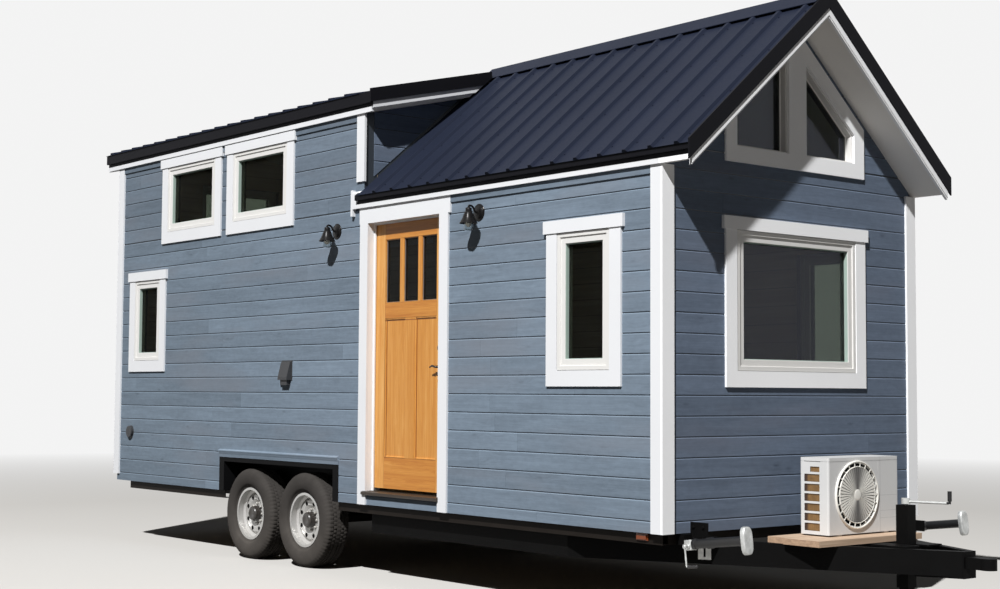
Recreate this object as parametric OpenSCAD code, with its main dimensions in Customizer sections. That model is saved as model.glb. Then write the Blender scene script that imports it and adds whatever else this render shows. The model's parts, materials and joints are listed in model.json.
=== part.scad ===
/* [House body] */
// Length of the siding box, front wall face to rear wall face
body_len = 7440; // [6500:10:8500]
// Width over the siding of the two long walls
body_w = 2550; // [2300:10:2600]
// Thickness of every wall, siding to inside face
wall_t = 120; // [90:1:160]
// Thickness of the siding and sheathing that hang past the trailer rail
skin_t = 30; // [20:1:40]
// Height of the siding's lower edge above the ground
base_z = 560; // [500:1:650]
// Top of the finished floor above the siding's lower edge
floor_top = 100; // [80:1:140]
// Thickness of the floor deck
floor_t = 40; // [20:1:60]
// Length of the front part under the gable roof
gable_len = 3245; // [3050:5:3500]
// How far the house stands out behind the trailer frame
rear_overhang = 250; // [100:10:400]

/* [Roof] */
// Height of the white boards between the doorway and the gable's soffit
over_door_h = 124.5; // [90:0.5:160]
// Rise of the gable roof for each unit of run
gable_slope = 0.849; // [0.8:0.001:0.9]
// Vertical thickness of the gable roof deck and rafters
gable_deck_v = 152; // [120:1:160]
// Rise of the dormer roof for each unit of run
dormer_slope = 0.24; // [0.2:0.001:0.3]
// How far the dormer deck's ridge lies under the gable deck's ridge
dormer_drop = 18; // [10:1:25]
// Vertical thickness of the dormer roof deck and rafters
dormer_deck_v = 160; // [130:1:180]
// How far the decks stand out past the long walls
eave_out = 15; // [10:1:60]
// Gable deck's overhang past the front wall
front_over = 265; // [200:5:400]
// Dormer deck's overhang past the rear wall
rear_over = 205; // [100:5:300]
// Dormer deck's overhang past its cheek walls
cheek_over = 135; // [80:5:200]
// Thickness of the fascia and rake boards
board_t = 20; // [15:1:25]
// How far the rake board shows under the deck's top, measured plumb
rake_drop = 160; // [156:1:180]
// How far the dormer's front rake board shows under its deck's top, measured plumb
cheek_rake_drop = 132; // [110:1:160]
// Thickness of the roofing sheet
sheet_t = 3; // [2:0.5:5]
// Height of the roofing ribs over the sheet
rib_h = 19; // [12:1:25]
// Spacing of the roofing ribs
rib_pitch = 229; // [150:1:305]
// Width of a rib at its foot
rib_w = 50; // [40:1:60]
// How far the sheet stands out past the fascia boards
sheet_out = 34; // [15:1:50]
// Height of the dark rake flashing
rake_flash_h = 128; // [90:1:140]
// Height of the dark eave flashing that shows under the sheet
eave_flash_h = 60; // [40:1:80]

/* [Door] */
// Width of the door leaf
door_w = 900; // [760:5:920]
// Height of the door leaf
door_h = 2032; // [1900:1:2050]
// Thickness of the door leaf
door_t = 44; // [35:1:50]
// Radius of a hinge's knuckle
hinge_r = 7; // [6:0.5:8]
// Height of a hinge
hinge_h = 90; // [70:5:110]
// Gap between the leaf and its frame
door_gap = 5; // [4:0.5:6]
// Thickness of the frame boards
jamb_t = 19; // [15:1:30]
// Distance from the back of the gable part to the middle of the doorway
door_from_gable_end = 532; // [500:1:600]
// Depth of the leaf's face behind the siding
door_inset = 62; // [50:1:70]
// Height of the leaf's lower edge above the finished floor
door_rise = 29; // [25:1:40]
// Width of the leaf's stiles
stile_w = 133; // [100:1:150]
// Width of the post between the two door panels
mullion_w = 100; // [80:1:120]
// Width of the bars between the three lites
muntin_w = 69.5; // [50:0.5:80]
// Height of the lites
lite_h = 470; // [350:5:520]
// Distance from the leaf's top to the lites
lite_down = 131; // [110:1:160]
// Distance from the leaf's top to the panels
panel_down = 755; // [700:5:800]
// Height of the leaf's bottom rail
bottom_rail = 253; // [200:1:300]
// Depth of the panels behind the stiles
panel_depth = 10; // [5:1:15]
// Height of the handle above the leaf's lower edge
handle_z = 920; // [850:5:1000]
// Reach of the handle's lever
lever_len = 105; // [90:5:130]

/* [Windows] */
// Width of the big front window
front_win_w = 1219; // [900:1:1400]
// Height of the big front window
front_win_h = 914; // [600:1:1000]
// Height of the lower windows' sills above the siding's lower edge
win_sill = 1012; // [900:1:1100]
// Height of the rear side window's head above the lower sills
rear_win_top = 898; // [800:1:950]
// Distance of the rear side window's middle from the rear wall
rear_win_in = 612; // [500:1:700]
// Distance of the rear dormer window's middle from the rear wall
loft_win_in = 1431; // [1350:1:1500]
// Spacing of the two dormer windows
loft_win_step = 1202; // [1180:1:1300]
// Distance of the front side window's middle from the front wall
side_win_in = 712; // [600:1:900]
// Width of the narrow side windows
side_win_w = 508; // [400:1:600]
// Height of the rear side window
rear_win_h = 762; // [600:1:800]
// Width of the dormer windows
loft_win_w = 890; // [700:1:920]
// Height of the dormer windows
loft_win_h = 605; // [450:1:610]
// Distance from the dormer's soffit down to its windows
loft_win_down = 94; // [90:1:130]
// Half the width of the gable window's openings, centre to outer edge
gable_win_half = 605; // [500:1:640]
// Distance from the gable's ridge down to its window's sill
gable_sill_down = 1053; // [1000:1:1080]
// Width of the post between the two gable lites
gable_post_w = 180; // [120:1:200]
// Plumb distance from the gable deck's soffit to the gable window's slope
gable_win_down = 190; // [180:1:230]
// Width of the window frame and sash that show
sash_w = 75; // [50:1:90]
// Depth of a window frame in the wall
sash_d = 70; // [50:1:90]
// Thickness of the glass units
glass_t = 18; // [6:1:24]

/* [Trim] */
// Width of the casing boards
casing_w = 105; // [80:1:110]
// Thickness of the casing boards
casing_t = 20; // [15:1:25]
// Height of the head casings
head_h = 85; // [70:1:90]
// How far a head casing stands past its legs
head_out = 25; // [10:1:40]
// Thickness of the head casings
head_t = 28; // [26:1:40]
// Width of the corner boards
corner_w = 105; // [80:1:120]
// Height of the blue frieze strip
frieze_h = 52; // [30:1:60]
// Thickness of the frieze strip
frieze_t = 16; // [10:1:19]
// Width of the black angle round the wheel opening
well_trim_w = 77; // [50:1:90]
// Height of the black angle over the wheel opening
well_trim_h = 35; // [30:1:60]
// Thickness of the black angle round the wheel opening
well_trim_t = 8; // [4:1:12]
// Height of the board over the wheel opening
well_board_h = 67; // [50:1:90]

/* [Trailer] */
// Height of the trailer's frame rails
rail_h = 130; // [100:1:150]
// Width of the frame rails
rail_w = 50; // [40:1:60]
// Steel thickness of the channels
steel_t = 6; // [5:0.5:10]
// Distance from the middle to the outside of the main beams
beam_y = 925; // [880:1:950]
// Height of the tongue channels
tongue_h = 152; // [127:1:160]
// Where the tongue rails bend inwards, back from the front wall
tongue_bend = 980; // [700:10:1200]
// How far the tongue reaches in front of the house
tongue_reach = 1495; // [1300:5:1600]
// Spacing of the cross members
cross_pitch = 610; // [500:5:700]

/* [Wheels] */
// Radius of a loaded tyre
tyre_r = 382; // [360:1:382]
// Width of a tyre
tyre_w = 235; // [205:1:240]
// Radius of the rim's flange
rim_r = 220; // [190:1:230]
// Distance between the two axles
axle_gap = 851; // [800:1:900]
// Distance from the back of the gable part to the middle of the axle pair
axles_behind_gable = 1271; // [1200:1:1400]
// How far the tyres stand out past the siding
tyre_past = 5; // [-25:1:10]
// Radius of the wheel spindle
spindle_r = 25; // [20:1:30]
// Clearance between a spindle and its hub
spindle_gap = 0.05; // [0.02:0.01:0.1]
// Length of the wheel opening
well_len = 1714; // [1700:1:1800]
// How far the wheel opening's middle lies behind the middle of the axle pair
well_shift = -28; // [-60:1:60]
// Height of the wheel opening above the siding's lower edge
well_h = 255; // [240:1:300]
// Depth of the wheel well from the siding
well_d = 281; // [270:1:300]

/* [Wall fittings] */
// Distance of the wall lights from the middle of the doorway
light_out = 902; // [700:1:1000]
// How far the wall lights' plates hang below the doorway's head
light_down = 16; // [0:1:200]
// Radius of a wall light's plate
light_plate_r = 60; // [45:1:70]
// Distance of a wall light's shade from the wall
light_reach = 100; // [85:1:130]
// Radius of a wall light's shade
shade_r = 66; // [50:1:80]
// Height of a wall light's shade below its arm
shade_h = 83; // [60:1:110]
// Width of the vent hood
vent_w = 138; // [100:1:220]
// Height of the vent hood
vent_h = 153; // [110:1:200]
// Height of the vent hood's lower edge above the siding's lower edge
vent_z = 958; // [700:1:1100]
// Radius of the electric inlet
inlet_r = 56; // [40:1:70]
// Height of the electric inlet above the siding's lower edge
inlet_z = 470; // [400:1:700]

/* [Outdoor unit] */
// Width of the air conditioner's housing
unit_w = 717; // [600:1:870]
// Height of the housing
unit_h = 485; // [450:1:550]
// Depth of the housing
unit_d = 230; // [200:1:330]
// Gap between the front wall and the housing
unit_gap = 265; // [150:1:300]
// How far the unit's middle lies to the far side
unit_shift = 61; // [0:1:100]
// Radius of the fan's opening
fan_r = 200; // [150:1:215]
// Depth of the fan's opening
fan_d = 70; // [40:1:120]
// Height of a slot in the housing's side
slot_h = 48; // [30:1:52]
// Thickness of the timber planks under the unit
plank_t = 38; // [30:1:45]
// Width of the front plank
plank_w = 286; // [200:1:300]
// Width of the rear plank
rear_plank_w = 140; // [100:1:200]
// Length of the planks
plank_len = 1040; // [900:1:1100]

/* [Jacks] */
// Distance of the tongue jack in front of the house
jack_x = 860; // [700:5:950]
// Width of the jack's square outer tube
jack_w = 86; // [60:1:90]
// Height of the jack's tube above the siding's lower edge
jack_top = 182; // [120:1:240]
// Width of the jack's foot
jack_foot_w = 220; // [150:5:300]
// Reach of the jack's crank
crank_reach = 280; // [200:5:300]
// Height of the crank's grip
grip_h = 62; // [40:1:90]
// Distance of a corner jack's pivot in front of the house
swivel_x = 215; // [212:1:260]
// Distance of a corner jack's pivot from the centre line
swivel_y = 1100; // [1050:5:1120]
// Length of a stowed corner jack from its pivot to its foot
corner_jack_len = 330; // [300:5:380]
// How far a stowed corner jack droops towards the house, in degrees
stow_tilt = 7; // [0:1:12]
// Radius of a corner jack's tube
corner_tube_r = 29; // [24:1:32]
// Length of a corner jack's foot
corner_foot_len = 170; // [120:5:200]
// Width of a corner jack's foot
corner_foot_w = 110; // [90:5:130]

/* [Hidden] */

rake_flash_t = 12;
rear_end = rear_over + board_t;
// The part's origin is on the ground under the tongue jack
front_x = -jack_x;
half_w = body_w / 2;
door_bottom = floor_top + door_rise;
door_head_z = door_bottom + door_h + door_gap;
// Height of the gable deck's ridge above the siding's lower edge
ridge_z = door_head_z + over_door_h + gable_deck_v + gable_slope * half_w;
axles_from_front = gable_len + axles_behind_gable;
well_front = axles_from_front + well_shift - well_len / 2;
tongue_back = gable_len - 5;
// Running clearance that keeps a wall's top off the soffit it carries
seat = 0.05;
inner_y = half_w - wall_t;
rail_y = half_w - skin_t;
rail_z = floor_top - floor_t;
dormer_x = -gable_len;
deck_y = half_w + eave_out;
fascia_y = deck_y + board_t;
sheet_y = fascia_y + sheet_out;
dormer_ridge_z = ridge_z - dormer_drop;
jamb_half = door_w / 2 + door_gap;
hole_half = jamb_half + jamb_t;
door_x = dormer_x + door_from_gable_end;
wheel_z = tyre_r - base_z;
hub_y = half_w + tyre_past - tyre_w / 2;
e = 1;

function gable_z(y) = ridge_z - gable_slope * abs(y);
function dormer_z(y) = dormer_ridge_z - dormer_slope * abs(y);
function gable_soffit(y) = gable_z(y) - gable_deck_v;
function dormer_soffit(y) = dormer_z(y) - dormer_deck_v;
function meet(a, sa, b, sb) = (a - b) / (sa - sb);
loft_sill = dormer_soffit(half_w) - loft_win_down - loft_win_h;
gable_sill = ridge_z - gable_sill_down;

// Everything below is drawn from the front wall's face and the siding's lower edge
module house() translate([front_x, 0, base_z]) children();

// A shape drawn in the Y-Z plane and run along X from x0 to x1
module along(x0, x1) translate([x0, 0, 0]) rotate([90, 0, 90]) linear_extrude(x1 - x0) children();

module both() {
    children();
    mirror([0, 1, 0]) children();
}

module block(x0, x1, y0, y1, z0, z1) translate([x0, y0, z0]) cube([x1 - x0, y1 - y0, z1 - z0]);

// Window openings of a long wall as [middle x, width, sill, height]
rear_win = [-body_len + rear_win_in, side_win_w, win_sill + rear_win_top - rear_win_h, rear_win_h];
loft_wins = [for (i = [0, 1]) [-body_len + loft_win_in + i * loft_win_step, loft_win_w, loft_sill, loft_win_h]];
side_win = [-side_win_in, side_win_w, win_sill, front_win_h];
rear_part_wins = concat([rear_win], loft_wins);
all_side_wins = concat(rear_part_wins, [side_win]);

module window_cuts(list) for (w = list)
    block(w[0] - w[1] / 2, w[0] + w[1] / 2, inner_y - e, half_w + e, w[2], w[2] + w[3]);

// Section of a long wall under a roof of slope s whose soffit is at z1 on the outer face
module wall_section(z1, s, z0 = 0) polygon([
    [inner_y, rail_z], [rail_y, rail_z], [rail_y, z0], [half_w, z0],
    [half_w, z1 - seat], [inner_y, z1 - seat + s * wall_t]
]);

module long_rear_part() difference() {
    union() {
        along(-body_len + rear_overhang, dormer_x)
            wall_section(dormer_soffit(half_w), dormer_slope);
        along(-body_len, -body_len + rear_overhang)
            wall_section(dormer_soffit(half_w), dormer_slope, rail_z - e / 1000);
    }
    block(-well_front - well_len, -well_front, inner_y - e, half_w + e, -e, well_h);
}

module side_rails() color("#1c1d20") house() both() {
    rails = [[-body_len + rear_overhang, -well_front - well_len - 30], [-well_front + 30, -skin_t]];
    for (r = rails)
        difference() {
            block(r[0], r[1], rail_y - rail_w, rail_y, rail_z - rail_h, rail_z);
            block(r[0] - e, r[1] + e, rail_y - rail_w - e, rail_y - steel_t,
                rail_z - rail_h + steel_t, rail_z - steel_t);
        }
}

module main_beams() color("#1c1d20") house() both()
    difference() {
        block(-body_len + rear_overhang, -skin_t - rail_w, beam_y - rail_w, beam_y, rail_z - rail_h, rail_z);
        block(-body_len, 0, beam_y - rail_w - e, beam_y - steel_t,
            rail_z - rail_h + steel_t, rail_z - steel_t);
    }

cross_h = 65;
cross_w = 40;
cross_count = floor((body_len - rear_overhang - 2 * rail_w - skin_t) / cross_pitch);
module cross_members() color("#1c1d20") house() {
    block(-skin_t - rail_w, -skin_t, -(rail_y - rail_w), rail_y - rail_w, rail_z - rail_h, rail_z);
    for (i = [0:cross_count]) {
        x = -body_len + rear_overhang + i * cross_pitch;
        block(x, x + cross_w, -(beam_y - rail_w), beam_y - rail_w, rail_z - cross_h, rail_z);
        if (x + cross_w < -well_front - well_len - 30 || x > -well_front + 30)
            both() block(x, x + cross_w, beam_y, rail_y - rail_w, rail_z - cross_h, rail_z);
    }
}

tongue_top = rail_z - rail_h;
tongue_y = rail_y - 70;
tongue_tip = tongue_reach - 190;
tip_out = 60;
tip_in = 4;
tongue_turn = atan((tongue_y - tip_out) / (tongue_tip + tongue_bend));
// Plan of a tongue rail between its outer face and a line t inside that face
module tongue_plan(t) {
    bend_in = t * tan(tongue_turn / 2);
    tip_y = tip_out - t * (tip_out - tip_in) / rail_w;
    polygon([
        [-tongue_back, tongue_y], [-tongue_bend, tongue_y], [tongue_tip, tip_out], [tongue_tip, tip_y],
        [-tongue_bend - bend_in, tongue_y - t], [-tongue_back, tongue_y - t]
    ]);
}
module tongue_rails() color("#1c1d20") house() both() translate([0, 0, tongue_top - tongue_h]) {
    linear_extrude(tongue_h) tongue_plan(steel_t);
    for (z = [0, tongue_h - steel_t])
        translate([0, 0, z]) linear_extrude(steel_t) tongue_plan(rail_w);
}

ball_r = 31;
socket_r = 50;
socket_up = 50;
socket_h = 70;
nose_t = 12;
gusset_t = 10;
gusset_len = 260;
gusset_w = 170;
module coupler() color("#1c1d20") house() {
    z = tongue_top - tongue_h;
    nose = tip_out + 2;
    ball_x = tongue_reach - socket_r;
    translate([0, 0, z - gusset_t]) linear_extrude(gusset_t) polygon([
        [tongue_tip - gusset_len, -gusset_w], [tongue_tip, -nose], [tongue_tip, nose],
        [tongue_tip - gusset_len, gusset_w]
    ]);
    block(tongue_tip, tongue_tip + nose_t, -nose, nose, z - gusset_t, tongue_top);
    difference() {
        union() {
            block(tongue_tip + nose_t, ball_x + 5, -socket_r + 5, socket_r - 5,
                z + socket_up, z + socket_up + socket_h);
            translate([ball_x, 0, z + socket_up]) cylinder(r = socket_r, h = socket_h, $fn = 64);
        }
        translate([ball_x, 0, z + socket_up - e]) cylinder(r = ball_r, h = socket_r + e, $fn = 48);
    }
}

axle_xs = [-axles_from_front - axle_gap / 2, -axles_from_front + axle_gap / 2];
axle_tube_r = 38;
axle_in = 95;
axle_tube_y = hub_y - axle_in;
spindle_tip = 10;
brake_r = 150;
brake_t = 6;
module axles() color("#202124") house() for (x = axle_xs) translate([x, 0, wheel_z]) {
    rotate([90, 0, 0]) cylinder(r = axle_tube_r, h = 2 * axle_tube_y, center = true, $fn = 48);
    both() translate([0, hub_y + spindle_tip, 0]) rotate([90, 0, 0])
        cylinder(r = spindle_r, h = axle_in + spindle_tip, $fn = 48);
    both() translate([0, axle_tube_y, 0]) rotate([90, 0, 0]) cylinder(r = brake_r, h = brake_t, $fn = 48);
}

spring_y = beam_y - rail_w / 2;
spring_half = 320;
leaf_t = 8;
leaf_w = 44;
spring_rise = 20;
spring_z = wheel_z + axle_tube_r;
leaf_count = 3;
eye_z = spring_z + (leaf_count - 1) * leaf_t + spring_rise;
hanger_w = 36;
// A leaf of half length half whose lower face is z0 high at its middle
module leaf(half, z0, t) {
    steps = 7;
    function bow(x) = z0 + spring_rise * (x / spring_half) * (x / spring_half);
    polygon(concat(
        [for (i = [-steps:steps]) [half * i / steps, bow(half * i / steps)]],
        [for (i = [steps:-1:-steps]) [half * i / steps, bow(half * i / steps) + t]]
    ));
}
module suspension() color("#202124") house() both() {
    y0 = spring_y - leaf_w / 2;
    y1 = spring_y + leaf_w / 2;
    for (x = axle_xs)
        translate([x, y1, 0]) rotate([90, 0, 0]) linear_extrude(leaf_w)
            for (i = [0:leaf_count - 1])
                leaf(spring_half * (1 - 0.3 * (leaf_count - 1 - i)), spring_z + i * leaf_t, leaf_t + 0.5);
    // Hangers at the two ends and the rocking bar between the springs
    for (x = [axle_xs[0] - spring_half, axle_xs[1] + spring_half])
        block(x - hanger_w / 2, x + hanger_w / 2, y0, y1, eye_z - 4, tongue_top);
    block(axle_xs[0] + spring_half - 10, axle_xs[1] - spring_half + 10, y0, y1, eye_z + leaf_t - 2, eye_z + 22);
    block(-axles_from_front - 30, -axles_from_front + 30, y0, y1, eye_z + 22 - e, tongue_top);
}

// Points of an elliptic arc from angle a0 to angle a1
function arc(cx, cy, rx, ry, a0, a1, n) =
    [for (i = [0:n]) [cx + rx * cos(a0 + (a1 - a0) * i / n), cy + ry * sin(a0 + (a1 - a0) * i / n)]];
bead_r = rim_r - 14;
rim_half = 86;
rim_t = 6;
bead_gap = 0.3;
// The tyre's section on its outer side, from bead to tread
function tyre_side() = concat(
    [[bead_r + bead_gap, rim_half - rim_t - bead_gap], [rim_r + 2, rim_half - rim_t - bead_gap],
        [rim_r + 10, rim_half + 4]],
    arc(rim_r + 84, tyre_w / 2 - 30, 66, 30, 172, 24, 8),
    [[tyre_r - 4, tyre_w / 2 - 30], [tyre_r, tyre_w / 2 - 42]]
);
module tyre() rotate([90, 0, 0]) rotate_extrude($fn = 96) {
    side = tyre_side();
    last = len(side) - 1;
    polygon(concat(side, [for (i = [last:-1:0]) [side[i][0], -side[i][1]]]));
}
disc_y = 8;
module rim() {
    difference() {
        rotate([90, 0, 0]) union() {
            rotate_extrude($fn = 96) polygon([
                [bead_r - rim_t, -rim_half], [rim_r, -rim_half], [rim_r, -rim_half + rim_t],
                [bead_r, -rim_half + rim_t], [bead_r, -30], [bead_r - 22, -20], [bead_r - 22, 20],
                [bead_r, 30], [bead_r, rim_half - rim_t], [rim_r, rim_half - rim_t], [rim_r, rim_half],
                [bead_r - rim_t, rim_half], [bead_r - rim_t, 34], [bead_r - 28, 24],
                [bead_r - 28, -24], [bead_r - rim_t, -34]
            ]);
            rotate_extrude($fn = 96) polygon([
                [spindle_r + spindle_gap, disc_y - 90], [60, disc_y - 90], [60, disc_y - 6],
                [100, disc_y - 6], [125, disc_y + 14], [150, disc_y + 14], [bead_r - 28, disc_y - 6],
                [bead_r - 28, disc_y + 2], [155, disc_y + 22], [120, disc_y + 22], [96, disc_y + 4],
                [62, disc_y + 4], [58, disc_y + 50], [50, disc_y + 62], [0, disc_y + 62], [0, disc_y + 14],
                [spindle_r + spindle_gap, disc_y + 14]
            ]);
        }
        for (a = [0:45:315]) rotate([0, a + 22.5, 0]) translate([137, 0, 0]) rotate([90, 0, 0])
            cylinder(r = 15, h = 200, center = true, $fn = 32);
    }
}

module at_wheel(x, side) house() translate([x, side * hub_y, wheel_z])
    if (side < 0) children(); else mirror([0, 1, 0]) children();

module tyre_front_left() color("#26272a") at_wheel(axle_xs[1], -1) tyre();
module rim_front_left() color("#b9bcc0") at_wheel(axle_xs[1], -1) rim();
module tyre_front_right() color("#26272a") at_wheel(axle_xs[1], 1) tyre();
module rim_front_right() color("#b9bcc0") at_wheel(axle_xs[1], 1) rim();
module tyre_rear_left() color("#26272a") at_wheel(axle_xs[0], -1) tyre();
module rim_rear_left() color("#b9bcc0") at_wheel(axle_xs[0], -1) rim();
module tyre_rear_right() color("#26272a") at_wheel(axle_xs[0], 1) tyre();
module rim_rear_right() color("#b9bcc0") at_wheel(axle_xs[0], 1) rim();

well_t = 6;
module wheel_wells() color("#151618") house() both() difference() {
    block(-well_front - well_len - well_t, -well_front + well_t, half_w - well_d - well_t, inner_y,
        rail_z - rail_h, well_h + well_t);
    block(-well_front - well_len, -well_front, half_w - well_d, half_w + e, rail_z - rail_h - e, well_h);
}

module floor() color("#b08a5c") house() difference() {
    block(-body_len + wall_t, -wall_t, -inner_y, inner_y, rail_z, floor_top);
    both() block(-well_front - well_len - well_t, -well_front + well_t, half_w - well_d - well_t,
        inner_y + e, rail_z - e, floor_top + e);
}

module door_wall_rear() color("#70808e") house() mirror([0, 1, 0]) difference() {
    union() {
        long_rear_part();
        along(dormer_x, door_x - hole_half) wall_section(gable_soffit(half_w), gable_slope);
    }
    window_cuts(rear_part_wins);
}

module door_wall_front() color("#70808e") house() mirror([0, 1, 0]) difference() {
    along(door_x + hole_half, 0) wall_section(gable_soffit(half_w), gable_slope);
    window_cuts([side_win]);
}

head_z = door_head_z + jamb_t;
sill_z = door_bottom - 22;
sill_t = 32;
module door_wall_header() color("#70808e") house() mirror([0, 1, 0]) {
    intersection() {
        along(door_x - hole_half, door_x + hole_half) wall_section(gable_soffit(half_w), gable_slope);
        block(-body_len, 0, 0, half_w + e, head_z, ridge_z);
    }
    intersection() {
        along(door_x - hole_half, door_x + hole_half) wall_section(gable_soffit(half_w), gable_slope);
        block(-body_len, 0, 0, half_w + e, -e, sill_z - sill_t);
    }
}

module far_wall_rear() color("#70808e") house() difference() {
    long_rear_part();
    window_cuts(rear_part_wins);
}

module far_wall_front() color("#70808e") house() difference() {
    along(dormer_x, 0) wall_section(gable_soffit(half_w), gable_slope);
    window_cuts([side_win]);
}

// Outline of the two gable lites on one side of the post, grown by g
module gable_lite(g) {
    y0 = gable_post_w / 2 - g;
    y1 = gable_win_half + g;
    grow = g / cos(atan(gable_slope));
    top = ridge_z - gable_deck_v - gable_win_down + grow;
    polygon([
        [y0, gable_sill - g], [y1, gable_sill - g], [y1, top - gable_slope * y1], [y0, top - gable_slope * y0]
    ]);
}

module front_wall() color("#5d6b79") house() difference() {
    union() {
        along(-skin_t, 0) polygon([
            [-inner_y, 0], [inner_y, 0], [inner_y, gable_soffit(inner_y) - seat], [0, gable_soffit(0) - seat],
            [-inner_y, gable_soffit(inner_y) - seat]
        ]);
        along(-wall_t, -skin_t) polygon([
            [-inner_y, rail_z], [inner_y, rail_z], [inner_y, gable_soffit(inner_y) - seat],
            [0, gable_soffit(0) - seat], [-inner_y, gable_soffit(inner_y) - seat]
        ]);
    }
    block(-wall_t - e, e, -front_win_w / 2, front_win_w / 2, win_sill, win_sill + front_win_h);
    both() along(-wall_t - e, e) gable_lite(0);
}

module rear_wall() color("#70808e") house() difference() {
    along(-body_len, -body_len + wall_t) polygon([
        [-inner_y, rail_z], [inner_y, rail_z], [inner_y, dormer_soffit(inner_y) - seat],
        [0, dormer_soffit(0) - seat], [-inner_y, dormer_soffit(inner_y) - seat]
    ]);
    block(-body_len - e, -body_len + wall_t + e, -loft_win_w / 2, loft_win_w / 2,
        loft_sill, loft_sill + loft_win_h);
}

cheek_y = meet(gable_soffit(0), gable_slope, dormer_soffit(0) - seat, dormer_slope);
module dormer_cheeks() color("#5d6b79") house() both() along(dormer_x - wall_t, dormer_x) polygon([
    [cheek_y, gable_soffit(cheek_y)], [inner_y, gable_soffit(inner_y)], [inner_y, dormer_soffit(inner_y) - seat]
]);

// A roof deck's section: sloping soffit inside the walls, level soffit over the trim outside them
module deck_section(z0, s, v) polygon([
    [-deck_y, z0 - s * half_w - v], [-deck_y, z0 - s * deck_y], [0, z0], [deck_y, z0 - s * deck_y],
    [deck_y, z0 - s * half_w - v], [half_w, z0 - s * half_w - v], [0, z0 - v], [-half_w, z0 - s * half_w - v]
]);
module gable_deck() color("#d8d6d2") house()
    along(dormer_x, front_over) deck_section(ridge_z, gable_slope, gable_deck_v);

sheet_gap = 0.3;
sheet_v = (sheet_gap + sheet_t + rib_h) / cos(atan(gable_slope));
cap_w = 130;
cap_t = 4;
cap_lift = 1;
// Keeps what stands over the gable roofing and beside its ridge cap
module over_gable_roof() difference() {
    children();
    polygon([
        [-2 * deck_y, 0], [2 * deck_y, 0], [2 * deck_y, gable_z(2 * deck_y) + sheet_v + 2],
        [0, gable_z(0) + sheet_v + 2], [-2 * deck_y, gable_z(2 * deck_y) + sheet_v + 2]
    ]);
    translate([-cap_w - 5, 0]) square([2 * (cap_w + 5), 2 * ridge_z]);
}
module dormer_deck() color("#d8d6d2") house() {
    along(-body_len - rear_over, dormer_x) deck_section(dormer_ridge_z, dormer_slope, dormer_deck_v);
    along(dormer_x, dormer_x + cheek_over) over_gable_roof()
        deck_section(dormer_ridge_z, dormer_slope, dormer_deck_v);
}

// Roofing sheet with trapezoid ribs, drawn flat: X along the eave, Y up the slope
module ribbed_sheet(x0, x1, run, first) rotate([90, 0, 0]) mirror([0, 0, 1]) linear_extrude(run) {
    translate([x0, 0]) square([x1 - x0, sheet_t]);
    for (x = [first:rib_pitch:x1 - rib_w]) polygon([
        [x - rib_w / 2, sheet_t - 0.5], [x + rib_w / 2, sheet_t - 0.5],
        [x + rib_w / 4, sheet_t + rib_h], [x - rib_w / 4, sheet_t + rib_h]
    ]);
}

// Lays a flat sheet on a slope that falls from z0 at the ridge to the eave on the +Y side
module on_slope(z0, s, y1) {
    translate([0, y1, z0 - s * y1 + sheet_gap / cos(atan(s))]) rotate([-atan(s), 0, 0])
        mirror([0, 1, 0]) children();
}

ridge_gap = 6;
first_gable_rib = 232;
first_dormer_rib = 120;
module gable_sheet() {
    run = (sheet_y - ridge_gap) / cos(atan(gable_slope));
    on_slope(ridge_z, gable_slope, sheet_y)
        ribbed_sheet(dormer_x + 1, front_over + board_t, run, dormer_x + first_gable_rib);
}
module dormer_sheet() {
    run = (sheet_y - ridge_gap) / cos(atan(dormer_slope));
    on_slope(dormer_ridge_z, dormer_slope, sheet_y)
        ribbed_sheet(-body_len - rear_end, dormer_x, run, -body_len - rear_end + first_dormer_rib);
}
module gable_roof_left() color("#2d313c") house() mirror([0, 1, 0]) gable_sheet();
module gable_roof_right() color("#2d313c") house() gable_sheet();
module dormer_roof_left() color("#1d1f24") house() mirror([0, 1, 0]) dormer_sheet();
module dormer_roof_right() color("#1d1f24") house() dormer_sheet();

// A bent strip along the ridge, v above the deck's plane, w wide each way and t thick
module cap_section(z0, s, v, w, t) polygon([
    [-w, z0 + v - s * w], [0, z0 + v], [w, z0 + v - s * w],
    [w, z0 + v + t - s * w], [0, z0 + v + t], [-w, z0 + v + t - s * w]
]);
module ridge_cap() color("#2a2d36") house() {
    along(dormer_x, front_over + board_t) cap_section(ridge_z, gable_slope, sheet_v + cap_lift, cap_w, cap_t);
    along(-body_len - rear_end, dormer_x)
        cap_section(dormer_ridge_z, dormer_slope, sheet_gap + sheet_t + rib_h + cap_lift, cap_w, cap_t);
}

// Half the hairline joint where the two rakes meet at the ridge
mitre = 1;
// A board along the rake, v0 to v1 plumb under the roof line z0, from y0 to y1
module rake_band(z0, s, v0, v1, y0, y1) polygon([
    [y0, z0 - s * y0 - v1], [y1, z0 - s * y1 - v1], [y1, z0 - s * y1 - v0], [y0, z0 - s * y0 - v0]
]);

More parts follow.
